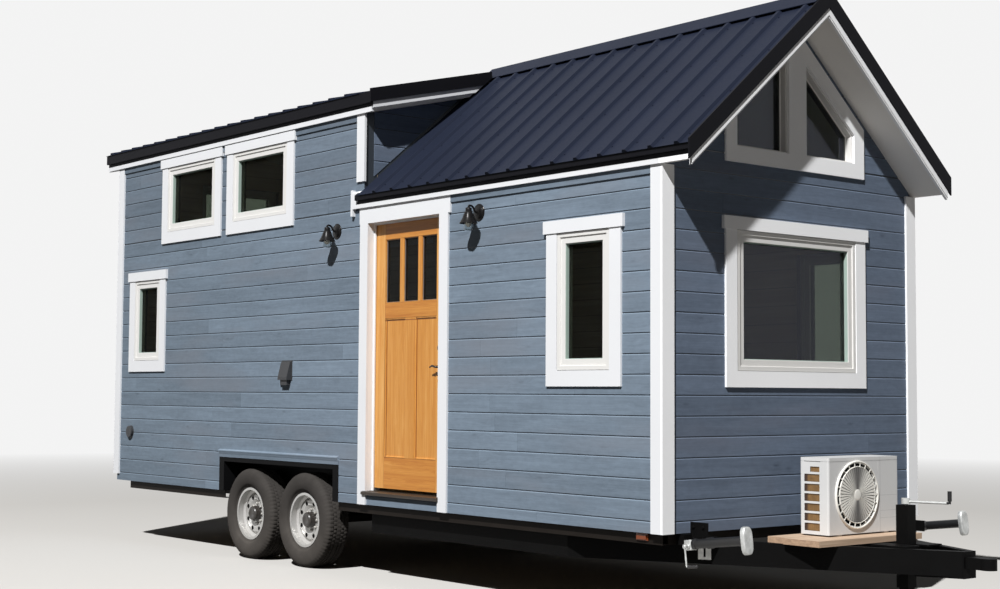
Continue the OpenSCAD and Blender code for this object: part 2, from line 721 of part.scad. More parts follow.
eave_flash_t = 25;
flash_over_gable = 28;
flash_over_dormer = 23;
function flash_top(y, s, z0) = z0 - s * y - 1;
module eave_flash(x0, x1, z0, s, zb) along(x0, x1) polygon([
    [fascia_y, zb], [fascia_y + eave_flash_t, zb],
    [fascia_y + eave_flash_t, flash_top(fascia_y + eave_flash_t, s, z0)], [fascia_y, flash_top(fascia_y, s, z0)]
]);
module roof_flashings() color("#17181b") house() both() {
    front = front_over + board_t;
    along(front, front + rake_flash_t)
        rake_band(ridge_z, gable_slope, rake_flash_h - flash_over_gable, -flash_over_gable, mitre, sheet_y);
    eave_flash(dormer_x - 50, front, ridge_z, gable_slope, gable_soffit(half_w) + eave_flash_h);
    eave_flash(-body_len - rear_end, dormer_x + cheek_over + board_t, dormer_ridge_z, dormer_slope,
        dormer_soffit(half_w) + eave_flash_h);
    cheek_front = dormer_x + cheek_over + board_t;
    along(cheek_front, cheek_front + rake_flash_t) over_gable_roof()
        rake_band(dormer_ridge_z, dormer_slope, cheek_rake_drop - 50, -flash_over_dormer, 0, sheet_y);
}

// How far the dormer's boards hang below its soffit
fascia_below = 6;
gable_fascia_end = dormer_x - 115;
// The narrow board that closes the rear end of the gable's fascia
end_board_w = 25;
end_board_down = 55;
end_board_up = 150;
module fascia(x0, x1, z0, s, zb) along(x0, x1) polygon([
    [deck_y, zb], [fascia_y, zb], [fascia_y, z0 - s * fascia_y - 1], [deck_y, z0 - s * deck_y - 1]
]);
module roof_trim() color("#eef0f2") house() both() {
    fascia(gable_fascia_end, front_over, ridge_z, gable_slope, gable_soffit(half_w));
    block(gable_fascia_end - end_board_w, gable_fascia_end, half_w, fascia_y,
        gable_soffit(half_w) - end_board_down, gable_soffit(half_w) + end_board_up);
    fascia(-body_len - rear_over, dormer_x + cheek_over, dormer_ridge_z, dormer_slope,
        dormer_soffit(half_w) - fascia_below);
    along(front_over, front_over + board_t)
        rake_band(ridge_z, gable_slope, 0, rake_drop, mitre, fascia_y);
    along(-body_len - rear_end, -body_len - rear_over)
        rake_band(dormer_ridge_z, dormer_slope, 0, dormer_deck_v + fascia_below, mitre, fascia_y);
    along(dormer_x + cheek_over, dormer_x + cheek_over + board_t) over_gable_roof()
        rake_band(dormer_ridge_z, dormer_slope, 0, cheek_rake_drop, 0, fascia_y);
}

module corner_boards() color("#f4f6f7") house() both() {
    z1 = gable_soffit(half_w);
    zr = dormer_soffit(half_w) - fascia_below - 0.3;
    // Front corner
    block(-corner_w + casing_t, casing_t, half_w, half_w + casing_t, 0, z1);
    block(0, casing_t, half_w + casing_t - corner_w, half_w, 0, z1);
    // Rear corner
    block(-body_len - casing_t, -body_len - casing_t + corner_w, half_w, half_w + casing_t, rail_z, zr);
    block(-body_len - casing_t, -body_len, half_w + casing_t - corner_w, half_w, rail_z, zr);
    // Dormer corner
    block(dormer_x + casing_t - corner_w, dormer_x + casing_t, half_w, half_w + casing_t,
        gable_z(half_w) + 60, zr);
}

loft_head_half = loft_win_w / 2 + casing_w + head_out;
well_trim_x0 = -well_front - well_len - well_trim_w;
well_trim_x1 = -well_front + well_trim_w;
well_trim_top = well_h + well_trim_h;
drip_out = 7;
// Section of the board over a wheel opening, with a drip nose along its top
module well_board_section() polygon([
    [half_w, well_trim_top], [half_w + frieze_t - 4, well_trim_top],
    [half_w + frieze_t - 4, well_trim_top + 0.72 * well_board_h],
    [half_w + frieze_t + drip_out, well_trim_top + 0.76 * well_board_h],
    [half_w + frieze_t + drip_out, well_trim_top + 0.86 * well_board_h], [half_w, well_trim_top + well_board_h]
]);
module side_friezes(gable_start) {
    gable_top = gable_soffit(half_w);
    dormer_top = dormer_soffit(half_w) - fascia_below - 0.3;
    block(gable_start, -corner_w + casing_t, half_w, half_w + frieze_t, gable_top - frieze_h, gable_top);
    spans = [
        [-body_len - casing_t + corner_w, loft_wins[0][0] - loft_head_half],
        [loft_wins[0][0] + loft_head_half, loft_wins[1][0] - loft_head_half],
        [loft_wins[1][0] + loft_head_half, dormer_x + casing_t - corner_w]
    ];
    for (x = spans) block(x[0], x[1], half_w, half_w + frieze_t, dormer_top - frieze_h, dormer_top);
    along(well_trim_x0, well_trim_x1) well_board_section();
}
module friezes() color("#70808e") house() {
    mirror([0, 1, 0]) side_friezes(door_x + jamb_half + casing_w + head_out);
    side_friezes(dormer_x);
}

// Black angle round a wheel opening: a flange on the siding and a return into the wall
well_return_t = 3;
module well_trims() color("#151618") house() both() difference() {
    union() {
        block(well_trim_x0, well_trim_x1, half_w, half_w + well_trim_t, 0, well_trim_top);
        block(-well_front - well_len, -well_front, inner_y, half_w + well_trim_t, 0, well_h);
    }
    block(-well_front - well_len + well_return_t, -well_front - well_return_t,
        inner_y - e, half_w + well_trim_t + e, -e, well_h - well_return_t);
}

// Casing boards round an opening w by h, drawn in X-Z with its sill middle at the origin, t thick to +Y
module casing(w, h, sill = true) {
    for (s = [-1, 1]) translate([s * (w + casing_w) / 2 - casing_w / 2, 0, -casing_w])
        cube([casing_w, casing_t, h + casing_w]);
    if (sill) translate([-w / 2, 0, -casing_w]) cube([w, casing_t, casing_w]);
    translate([-w / 2 - casing_w - head_out, 0, h]) cube([w + 2 * (casing_w + head_out), head_t, head_h]);
}
module window_casings() color("#eef0f2") house() {
    both() for (w = all_side_wins) translate([w[0], half_w, w[2]]) casing(w[1], w[3]);
    translate([0, 0, win_sill]) rotate([0, 0, -90]) casing(front_win_w, front_win_h);
    translate([-body_len, 0, loft_sill]) rotate([0, 0, 90]) casing(loft_win_w, loft_win_h);
    along(0, casing_t) difference() {
        union() {
            gable_lite(casing_w);
            mirror([1, 0]) gable_lite(casing_w);
        }
        gable_lite(0);
        mirror([1, 0]) gable_lite(0);
    }
}

door_head_back = 7;
module door_casing() color("#f4f6f7") house() mirror([0, 1, 0]) {
    for (s = [-1, 1])
        block(door_x + s * (jamb_half + casing_w / 2) - casing_w / 2,
            door_x + s * (jamb_half + casing_w / 2) + casing_w / 2, half_w, half_w + casing_t, 0, door_head_z);
    block(door_x - jamb_half - casing_w - door_head_back, door_x + jamb_half + casing_w + head_out,
        half_w, half_w + casing_t, door_head_z, gable_soffit(half_w));
}

frame_w = 32;
sash_step = 12;
gable_sash_w = 45;
glass_in = 36;
// Window frame with a stepped sash, drawn in X-Z with its sill middle at the origin, outer face at +Y 0
module frame_ring(w, h, b, d0, d1) difference() {
    translate([-w / 2, -d1, 0]) cube([w, d1 - d0, h]);
    translate([-w / 2 + b, -d1 - e, b]) cube([w - 2 * b, d1 - d0 + 2 * e, h - 2 * b]);
}
module window_frame(w, h) {
    frame_ring(w, h, frame_w, 0, sash_d);
    difference() {
        translate([-w / 2 + frame_w, -sash_d + 10, frame_w])
            cube([w - 2 * frame_w, sash_d - 10 - sash_step, h - 2 * frame_w]);
        translate([-w / 2 + sash_w, -sash_d, sash_w]) cube([w - 2 * sash_w, sash_d + e, h - 2 * sash_w]);
    }
}
module window_frames() color("#e9ecee") house() {
    both() for (w = all_side_wins) translate([w[0], half_w, w[2]]) window_frame(w[1], w[3]);
    translate([0, 0, win_sill]) rotate([0, 0, -90]) window_frame(front_win_w, front_win_h);
    translate([-body_len, 0, loft_sill]) rotate([0, 0, 90]) window_frame(loft_win_w, loft_win_h);
    both() along(-sash_d, 0) difference() {
        gable_lite(0);
        gable_lite(-gable_sash_w);
    }
}
module pane(w, h) translate([-w / 2 + sash_w, -glass_in - glass_t / 2, sash_w])
    cube([w - 2 * sash_w, glass_t, h - 2 * sash_w]);
module window_glass() color("#5c6f78") house() {
    both() for (w = all_side_wins) translate([w[0], half_w, w[2]]) pane(w[1], w[3]);
    translate([0, 0, win_sill]) rotate([0, 0, -90]) pane(front_win_w, front_win_h);
    translate([-body_len, 0, loft_sill]) rotate([0, 0, 90]) pane(loft_win_w, loft_win_h);
    both() along(-glass_in - glass_t / 2, -glass_in + glass_t / 2) gable_lite(-gable_sash_w);
}

leaf_y = half_w - door_inset;
// Hinge axis: just inside the leaf's rear edge and off its inner face
hinge_x = door_x - door_w / 2 + 5;
hinge_y = leaf_y - door_t - hinge_r - 1;
hinge_pin = 3;
hinge_zs = [door_bottom + 180, door_bottom + door_h / 2 - hinge_h / 2, door_bottom + door_h - 180 - hinge_h];
hinge_knuckle = hinge_h / 2;
module frame_hinge(z) difference() {
    union() {
        translate([hinge_x, hinge_y, z + hinge_h / 4]) cylinder(r = hinge_r, h = hinge_knuckle, $fn = 32);
        block(door_x - jamb_half, hinge_x, inner_y, hinge_y + hinge_pin,
            z + hinge_h / 4, z + hinge_h / 4 + hinge_knuckle);
    }
    translate([hinge_x, hinge_y, z]) cylinder(r = hinge_pin + spindle_gap, h = hinge_h, $fn = 32);
}
module leaf_hinge(z) {
    translate([hinge_x, hinge_y, z]) cylinder(r = hinge_pin, h = hinge_h, $fn = 32);
    for (z1 = [z, z + hinge_h / 4 + hinge_knuckle + 0.5]) {
        translate([hinge_x, hinge_y, z1]) cylinder(r = hinge_r, h = hinge_h / 4 - 0.5, $fn = 32);
        block(hinge_x, hinge_x + 26, hinge_y, leaf_y - door_t, z1, z1 + hinge_h / 4 - 0.5);
    }
}
stop_t = 12;
stop_y = leaf_y + 5;
module door_frame() color("#f1f1ee") house() mirror([0, 1, 0]) {
    for (s = [-1, 1]) translate([door_x + s * jamb_half, 0, 0]) mirror([(1 - s) / 2, 0, 0]) {
        block(0, jamb_t, inner_y, half_w, sill_z, head_z);
        block(-stop_t, 0, stop_y, stop_y + stop_t, sill_z, head_z - jamb_t);
    }
    block(door_x - jamb_half, door_x + jamb_half, inner_y, half_w, head_z - jamb_t, head_z);
    for (z = hinge_zs) frame_hinge(z);
    block(door_x - jamb_half + stop_t, door_x + jamb_half - stop_t, stop_y, stop_y + stop_t,
        head_z - jamb_t - stop_t, head_z - jamb_t);
}

nose_out = 40;
module threshold() color("#4a4038") house() mirror([0, 1, 0]) {
    along(door_x - hole_half, door_x + hole_half)
        translate([inner_y, sill_z - sill_t]) square([wall_t, 32]);
    along(door_x - jamb_half, door_x + jamb_half)
        translate([half_w - 1, sill_z - sill_t]) square([casing_t + 1, 30]);
    along(door_x - jamb_half - 30, door_x + jamb_half + 12) polygon([
        [half_w + casing_t, sill_z - sill_t], [half_w + nose_out - 8, sill_z - sill_t],
        [half_w + nose_out, sill_z - 24], [half_w + nose_out, sill_z - 8], [half_w + casing_t, sill_z - 2]
    ]);
}

module leaf_place() house() translate([door_x, -leaf_y, door_bottom]) children();
lite_w = (door_w - 2 * stile_w - 2 * muntin_w) / 3;
lite_z = door_h - lite_down - lite_h;
panel_w = (door_w - 2 * stile_w - mullion_w) / 2;
panel_h = door_h - panel_down - bottom_rail;
module at_lites() for (i = [-1:1]) translate([i * (lite_w + muntin_w) - lite_w / 2, 0, lite_z]) children();
module door_leaf() color("#d38a3a") leaf_place() difference() {
    translate([-door_w / 2, 0, 0]) cube([door_w, door_t, door_h]);
    at_lites() translate([0, -e, 0]) cube([lite_w, door_t + 2 * e, lite_h]);
    for (i = [-1, 1], y = [-e, door_t - panel_depth])
        translate([i * (mullion_w + panel_w) / 2 - panel_w / 2, y, bottom_rail])
            cube([panel_w, panel_depth + e, panel_h]);
}
lite_t = 6;
module door_glass() color("#3d4a50") leaf_place()
    at_lites() translate([0, (door_t - lite_t) / 2, 0]) cube([lite_w, lite_t, lite_h]);

handle_in = 67;
deadbolt_up = 140;
keyhole_down = 75;
rose_r = 27;
rose_t = 9;
spindle_out = 40;
lever_t = 10;
lever_h = 16;
// A turned piece standing on the leaf's face, r in radius and t high, with its edge eased
module turned(r, t) rotate([-90, 0, 0]) rotate_extrude($fn = 40)
    polygon([[0, 0], [r, 0], [r, t * 0.6], [r * 0.8, t], [0, t]]);
// The handle on one face of the leaf: a lever on a round rose, with a keyhole below and a bolt above
module handle_side() {
    turned(rose_r, rose_t);
    rotate([-90, 0, 0]) cylinder(r = lever_t, h = spindle_out + lever_t, $fn = 24);
    translate([-lever_len, spindle_out, -lever_h / 2]) cube([lever_len, lever_t, lever_h]);
    translate([0, 0, deadbolt_up]) turned(rose_r - 3, rose_t + 5);
    translate([0, 0, -keyhole_down]) turned(rose_r - 9, rose_t);
}
module door_hardware() color("#2b2723") {
    leaf_place() for (s = [0, 1])
        translate([door_w / 2 - handle_in, s * door_t, handle_z]) mirror([0, 1 - s, 0]) handle_side();
    house() mirror([0, 1, 0]) for (z = hinge_zs) leaf_hinge(z);
}

light_arm_r = 8;
shade_t = 2.5;
neck_r = 22;
neck_h = 38;
jar_r = 33;
jar_down = 135;
// Half section of a wall light's round plate, drawn on its axis
module light_plate() rotate_extrude($fn = 56) polygon([
    [0, 0], [light_plate_r, 0], [light_plate_r, 8], [light_plate_r * 0.85, 14],
    [light_plate_r * 0.4, 18], [light_plate_r * 0.25, 26], [0, 26]
]);
// Half section of the bell shade, its neck and the closed jar under it
module light_shade() rotate_extrude($fn = 56) polygon([
    [0, neck_h + 8], [8, neck_h + 8], [10, neck_h], [neck_r, neck_h - 6], [neck_r, 0],
    [shade_r * 0.47, -shade_h * 0.14], [shade_r * 0.65, -shade_h * 0.5], [shade_r * 0.88, -shade_h * 0.84],
    [shade_r, -shade_h], [shade_r - shade_t, -shade_h], [shade_r * 0.88 - shade_t, -shade_h * 0.86],
    [shade_r * 0.65 - shade_t, -shade_h * 0.52], [jar_r - 1, -shade_h * 0.4], [jar_r, -shade_h * 0.6],
    [jar_r, -jar_down + 14], [jar_r - 12, -jar_down], [0, -jar_down]
]);
module wall_lights() color("#1d1d20") house() for (s = [-1, 1])
    translate([door_x + s * light_out, -half_w, door_head_z - light_down]) {
        rotate([90, 0, 0]) light_plate();
        translate([0, -20, neck_h / 2]) rotate([90, 0, 0])
            cylinder(r = light_arm_r, h = light_reach - 20, $fn = 24);
        translate([0, -20, 0]) rotate([90, 0, 0]) cylinder(r = 2 * light_arm_r, h = 16, $fn = 24);
        translate([0, -28, 0]) cylinder(r = light_arm_r, h = neck_h / 2, $fn = 24);
        translate([0, -light_reach, 0]) light_shade();
    }

vent_ahead = 254;
vent_x = -axles_from_front + vent_ahead;
vent_out = 56;
vent_top_out = 22;
vent_flange = 9;
throat_drop = 42;
// A hood that leans out from the wall, over a square throat
module vent_hood() {
    along(vent_x - vent_w, vent_x) polygon([
        [half_w, vent_z], [half_w + vent_out, vent_z], [half_w + vent_out, vent_z + 0.15 * vent_h],
        [half_w + vent_top_out, vent_z + vent_h - 3], [half_w, vent_z + vent_h]
    ]);
    block(vent_x - vent_w - vent_flange, vent_x + vent_flange, half_w, half_w + 7,
        vent_z - 6, vent_z + vent_h + vent_flange);
    block(vent_x - 0.87 * vent_w, vent_x - 0.13 * vent_w, half_w, half_w + 0.75 * vent_out,
        vent_z - throat_drop, vent_z);
}
inlet_in = 306;
inlet_out = 34;
// A round inlet box: flange, barrel and a lid with an eased rim
module inlet() rotate([90, 0, 0]) rotate_extrude($fn = 56) polygon([
    [0, 0], [inlet_r + 4, 0], [inlet_r + 4, 5], [inlet_r - 7, 8], [inlet_r - 7, inlet_out - 12],
    [inlet_r, inlet_out - 12], [inlet_r, inlet_out - 4], [inlet_r - 6, inlet_out], [0, inlet_out]
]);
module wall_fittings() color("#6e7276") house() {
    mirror([0, 1, 0]) vent_hood();
    translate([-body_len + inlet_in, -half_w, inlet_z]) inlet();
}

plank_z = tongue_top;
unit_z = plank_z + plank_t + 10;
unit_edge_r = 14;
unit_y0 = unit_shift - unit_w / 2;
unit_face = unit_gap + unit_d;
fan_y = unit_shift - 78;
fan_z = unit_z + unit_h / 2 + 4;
slot_count = 7;
slot_step = 62;
slot_x0 = 37;
slot_x1 = 159;
short_slot_x0 = 85;
slot_z0 = unit_z + 23;
slot_depth = 12;
panel_y = unit_shift + 145;
lid_h = 22;
lid_groove = 2;
foot_y = 240;
foot_w = 50;
// Plan of the housing, its upright edges rounded, drawn g inside its faces
module unit_plan(g) translate([unit_gap + unit_edge_r, unit_y0 + unit_edge_r]) offset(r = unit_edge_r - g)
    square([unit_d - 2 * unit_edge_r, unit_w - 2 * unit_edge_r]);
module outdoor_unit() color("#e8e9ea") house() {
    difference() {
        union() {
            translate([0, 0, unit_z]) linear_extrude(unit_h - lid_h) unit_plan(lid_groove);
            translate([0, 0, unit_z]) linear_extrude(unit_h - lid_h - 4) unit_plan(0);
            translate([0, 0, unit_z + unit_h - lid_h]) linear_extrude(lid_h) unit_plan(0);
        }
        translate([unit_face - fan_d, fan_y, fan_z]) rotate([0, 90, 0])
            cylinder(r = fan_r, h = fan_d + e, $fn = 72);
        for (i = [0:slot_count - 1]) {
            top = i == slot_count - 1;
            z = slot_z0 + i * slot_step;
            block(unit_gap + (top ? short_slot_x0 : slot_x0), unit_gap + slot_x1,
                unit_y0 - e, unit_y0 + slot_depth, z, z + (top ? 0.7 : 1) * slot_h);
        }
        block(unit_face - lid_groove, unit_face + e, panel_y - lid_groove, panel_y,
            unit_z - e, unit_z + unit_h - lid_h);
    }
    for (y = [unit_shift - foot_y, unit_shift + foot_y])
        block(unit_gap + 10, unit_face - 10, y - foot_w / 2, y + foot_w / 2, plank_z + plank_t, unit_z);
}

guard_t = 14;
guard_r = fan_r + 18;
hub_disc_r = 42;
bar_w = 5;
bar_count = 24;
// The fan guard: rim, centre disc, two rings and straight bars between them, drawn flat
module guard_ring(r0, r1) difference() {
    circle(r = r1, $fn = 72);
    circle(r = r0, $fn = 72);
}
module unit_grille() color("#d5d7d8") house() translate([unit_face, fan_y, fan_z]) rotate([0, 90, 0]) {
    rotate_extrude($fn = 72) polygon([
        [fan_r - 12, 0], [guard_r, 0], [guard_r, guard_t * 0.4], [guard_r - 6, guard_t],
        [fan_r - 4, guard_t], [fan_r - 12, guard_t * 0.5]
    ]);
    translate([0, 0, guard_t * 0.3]) cylinder(r = hub_disc_r, h = guard_t * 0.7, $fn = 48);
    translate([0, 0, guard_t * 0.4]) linear_extrude(guard_t * 0.5) {
        guard_ring(fan_r * 0.86, fan_r * 0.89);
        guard_ring(fan_r * 0.54, fan_r * 0.56);
        for (i = [0:bar_count - 1]) rotate(i * 360 / bar_count)
            translate([hub_disc_r - 2, -bar_w / 2]) square([fan_r - 8 - hub_disc_r, bar_w]);
    }
}
plank_x = unit_gap + 90;
rear_plank_x = unit_gap - 60;
plank_shift = 50;
rear_plank_shift = 20;
module plank(x, w, shift) block(x, x + w, -plank_len / 2 - shift, plank_len / 2 - shift,
    plank_z, plank_z + plank_t);
module unit_planks() color("#b98d5f") house() {
    plank(plank_x, plank_w, plank_shift);
    plank(rear_plank_x, rear_plank_w, rear_plank_shift);
}

jack_foot = 12;
jack_inner = 0.74 * jack_w;
jack_plate = 10;
jack_drop = 260;
crank_post_r = 16;
crank_post_h = 22;
module tongue_jack() color("#1b1c1e") house() translate([jack_x, 0, 0]) {
    half = jack_w / 2;
    block(-half, half, -half, half, tongue_top - jack_drop, jack_top);
    block(-jack_inner / 2, jack_inner / 2, -jack_inner / 2, jack_inner / 2,
        -base_z + jack_foot, tongue_top - jack_drop);
    block(-jack_foot_w / 2, jack_foot_w / 2, -jack_foot_w / 2, jack_foot_w / 2, -base_z, -base_z + jack_foot);
    both() block(-1.5 * jack_w, 1.5 * jack_w, half, 2.2 * jack_w, tongue_top, tongue_top + jack_plate);
    translate([0, 0, jack_top]) cylinder(r = crank_post_r, h = crank_post_h, $fn = 48);
}
crank_z = jack_top + 5;
crank_r = 8;
crank_turn = 15;
crank_hub_r = 27;
crank_hub_h = 36;
grip_r = 13;
module jack_crank() color("#9a9da1") house() translate([jack_x, 0, crank_z]) rotate([0, 0, crank_turn]) {
    bar_z = crank_hub_h / 2 - 3;
    difference() {
        cylinder(r = crank_hub_r, h = crank_hub_h, $fn = 48);
        translate([0, 0, -e]) cylinder(r = crank_post_r + spindle_gap, h = crank_post_h - 2 + e, $fn = 48);
    }
    translate([crank_hub_r - 7, 0, bar_z]) rotate([0, 90, 0])
        cylinder(r = crank_r, h = crank_reach - crank_hub_r + 7, $fn = 32);
    translate([crank_reach, 0, bar_z - crank_r]) cylinder(r = crank_r, h = 20, $fn = 32);
    translate([crank_reach, 0, bar_z + 12]) cylinder(r = grip_r, h = grip_h, $fn = 32);
}

swivel_z = -45;
swivel_pin = 16;
swivel_plate_t = 8;
swivel_plate_y = swivel_y - 50;
// Pivot of a corner jack on the door side, its stowed tube leaning up to the front and the house to +Y
module at_swivel() house() translate([swivel_x, -swivel_y, swivel_z]) children();
module corner_jack_bracket() {
    block(-skin_t, 30, -swivel_plate_y - 70, -swivel_plate_y + 12, tongue_top, -6);
    block(20, swivel_x + 34, -swivel_plate_y, -swivel_plate_y + swivel_plate_t, tongue_top - 10, -6);
    block(20, 165, -swivel_plate_y, -swivel_plate_y + swivel_plate_t, -7, 70);
    translate([swivel_x, -swivel_plate_y + 1, swivel_z]) rotate([90, 0, 0])
        cylinder(r = swivel_pin, h = 20, $fn = 48);
}
module corner_jack_brackets() color("#1c1d20") house() both() corner_jack_bracket();
head_x = -115;
head_len = 60;
knuckle_r = 34;
knuckle_len = 45;
screw_r = 8;
rod_r = 6;
rod_x = head_x - 15;
rod_y = -70;
rod_drop = 145;
corner_foot_t = 10;
foot_lip = 22;
foot_lip_t = 6;
module corner_jack() at_swivel() rotate([0, -stow_tilt, 0]) {
    difference() {
        translate([0, knuckle_len, 0]) rotate([90, 0, 0]) cylinder(r = knuckle_r, h = knuckle_len, $fn = 48);
        translate([0, knuckle_len + e, 0]) rotate([90, 0, 0])
            cylinder(r = swivel_pin + spindle_gap, h = 20, $fn = 48);
    }
    foot_x = corner_jack_len - corner_foot_t;
    translate([head_x, 0, 0]) rotate([0, 90, 0]) cylinder(r = corner_tube_r, h = foot_x - head_x, $fn = 48);
    // A dished foot: a plate with its two long edges turned back
    half = corner_foot_w / 2;
    block(foot_x, corner_jack_len, -half, half, -corner_foot_len / 2, corner_foot_len / 2);
    for (y = [-half, half - foot_lip_t])
        block(foot_x - foot_lip, foot_x, y, y + foot_lip_t, -corner_foot_len / 2, corner_foot_len / 2);
    block(head_x - head_len, head_x, -38, 30, -40, 30);
    translate([rod_x, -37, -10]) rotate([90, 0, 0]) cylinder(r = screw_r, h = 40, $fn = 32);
    translate([rod_x, rod_y, -rod_drop]) cylinder(r = rod_r, h = rod_drop - 4, $fn = 32);
    translate([rod_x - rod_r, rod_y, -rod_drop]) rotate([0, 90, 0]) cylinder(r = 10, h = 95, $fn = 32);
}
module corner_jack_left() color("#3a3c40") corner_jack();
module corner_jack_right() color("#3a3c40") mirror([0, 1, 0]) corner_jack();

marker_x = -250;
marker_len = 100;
marker_out = 18;
tie_x = -130;
tie_w = 86;
tie_h = 95;
tie_t = 5;
tie_y = tongue_y - (tie_x + tongue_bend) * tan(tongue_turn);
// A slotted tie-down plate on the sloping face of a tongue rail
module tie_plate() translate([tie_x, tie_y, tongue_top - tongue_h / 2])
    rotate([0, 0, -tongue_turn]) difference() {
        translate([-tie_w / 2, 0, -tie_h / 2]) cube([tie_w, tie_t, tie_h]);
        translate([-tie_w / 12, -e, -tie_h / 3]) cube([tie_w / 6, tie_t + 2 * e, tie_h / 1.5]);
    }
module trailer_fittings() color("#c07a30") house() both() {
    z0 = rail_z - rail_h + 20;
    block(marker_x, marker_x + marker_len, rail_y, rail_y + marker_out / 2, z0, z0 + 45);
    block(marker_x + 8, marker_x + marker_len - 8, rail_y, rail_y + marker_out, z0 + 7, z0 + 38);
    tie_plate();
}

side_rails();
main_beams();
cross_members();
tongue_rails();
coupler();
axles();
suspension();
tyre_front_left();
rim_front_left();
tyre_front_right();
rim_front_right();
tyre_rear_left();
rim_rear_left();
tyre_rear_right();
rim_rear_right();
floor();
wheel_wells();
door_wall_rear();
door_wall_front();
door_wall_header();
far_wall_rear();
far_wall_front();
front_wall();
rear_wall();
dormer_cheeks();
gable_deck();
dormer_deck();
gable_roof_left();
gable_roof_right();
dormer_roof_left();
dormer_roof_right();
ridge_cap();
roof_flashings();
corner_boards();
roof_trim();
friezes();
well_trims();
window_casings();
door_casing();
window_frames();
window_glass();
door_frame();
threshold();
door_leaf();
door_glass();
door_hardware();
wall_lights();
wall_fittings();
outdoor_unit();
unit_grille();
unit_planks();
tongue_jack();
jack_crank();
corner_jack_brackets();
corner_jack_left();
corner_jack_right();
trailer_fittings();
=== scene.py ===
# %% [markdown]
# # A tiny house on wheels
#
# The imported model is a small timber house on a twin-axle trailer. It arrives here as
# plain solids at their real size. This script gives every surface its finish and adds
# what a modeller leaves until last: siding boards, door joinery, tyre treads, lamp
# glass and the vanes of a fan guard. All lengths are metres. X runs forwards along the
# tongue, the entrance is on the -Y side, and Z is up from the ground.

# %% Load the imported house
import json
import math
import bmesh
import bpy
import numpy as np
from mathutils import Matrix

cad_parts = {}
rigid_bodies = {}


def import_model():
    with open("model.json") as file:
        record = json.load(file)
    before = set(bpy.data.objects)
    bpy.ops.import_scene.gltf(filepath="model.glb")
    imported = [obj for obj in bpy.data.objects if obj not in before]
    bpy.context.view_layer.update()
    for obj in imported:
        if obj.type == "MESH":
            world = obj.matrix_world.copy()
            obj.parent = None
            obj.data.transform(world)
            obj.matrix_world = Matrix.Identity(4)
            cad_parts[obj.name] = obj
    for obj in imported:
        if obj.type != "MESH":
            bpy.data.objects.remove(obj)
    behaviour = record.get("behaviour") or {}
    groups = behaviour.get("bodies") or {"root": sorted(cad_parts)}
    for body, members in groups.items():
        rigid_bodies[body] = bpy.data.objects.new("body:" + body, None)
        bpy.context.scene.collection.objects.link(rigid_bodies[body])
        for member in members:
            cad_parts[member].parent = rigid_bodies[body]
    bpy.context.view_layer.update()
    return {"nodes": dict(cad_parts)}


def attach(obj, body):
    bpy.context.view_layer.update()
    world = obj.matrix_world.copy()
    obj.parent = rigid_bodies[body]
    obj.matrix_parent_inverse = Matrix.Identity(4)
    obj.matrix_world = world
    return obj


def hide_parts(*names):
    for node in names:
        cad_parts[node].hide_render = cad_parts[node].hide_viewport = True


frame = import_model()
nodes = frame["nodes"]
rng = np.random.default_rng(7)

# %% Places that most pieces share
FRONT_X = -0.860     # outside face of the front wall's sheathing
BASE_Z = 0.560       # lower edge of the siding
HALF_W = 1.275       # centre line to the face of a long wall
BODY_LEN = 7.44
GABLE_LEN = 3.245    # length of the part under the gable roof
SPLIT_X = FRONT_X - GABLE_LEN
GABLE_SLOPE, DORMER_SLOPE = 0.849, 0.24   # fall of the two roofs for each metre out
DOOR_X = -2.713      # middle of the doorway, from the front wall
COURSE = 0.130       # height of one siding board
FIRST_LINE = 0.073   # lowest joint above the siding's lower edge
BOARD_OUT = 0.005    # how far a board's face stands off the wall
GROOVE = 0.005       # open groove between two courses
EASE = 0.0025        # eased lower edge of a board
EASE_TOP = 0.0045    # wider slope along its upper edge, which catches the sun
FACE, BACK = -1.213, -1.169      # outer and inner face of the door's leaf
LEAF_Z, LEAF_H = 0.129, 2.032    # door leaf's lower edge above the siding's lower edge, and its height
HINGES, PIN_H = (0.180, 0.971, 1.762), 0.090   # feet of the hinge pins above the leaf's lower edge, their height
AXLES_X, HALF_AXLES = FRONT_X - 4.516, 0.4255  # middle between the axles, and from there to either axle
HUB_Y, HUB_Z = 1.1625, 0.382     # middle of a wheel, from the centre line and the ground


def at(x, y, z):
    """A point given from the front wall's face and the siding's lower edge."""
    return (x + FRONT_X, y, z + BASE_Z)


FAN_CENTRE = at(0.495, -0.017, 0.2245)   # on the outdoor unit's front
JACK_PIN = at(0.215, -1.100, -0.045)     # middle of the pin that a corner jack swings on
JACK_LEAN = math.radians(7.0)            # how far the jacks, swung up, rise towards their feet

# %% [markdown]
# ## Shader maths as Python
#
# A node tree is easier to read as an expression. `Val` wraps one output socket, and the
# usual operators add Math nodes. Colours are mixed with Mix nodes, because a Math node
# would turn them grey.

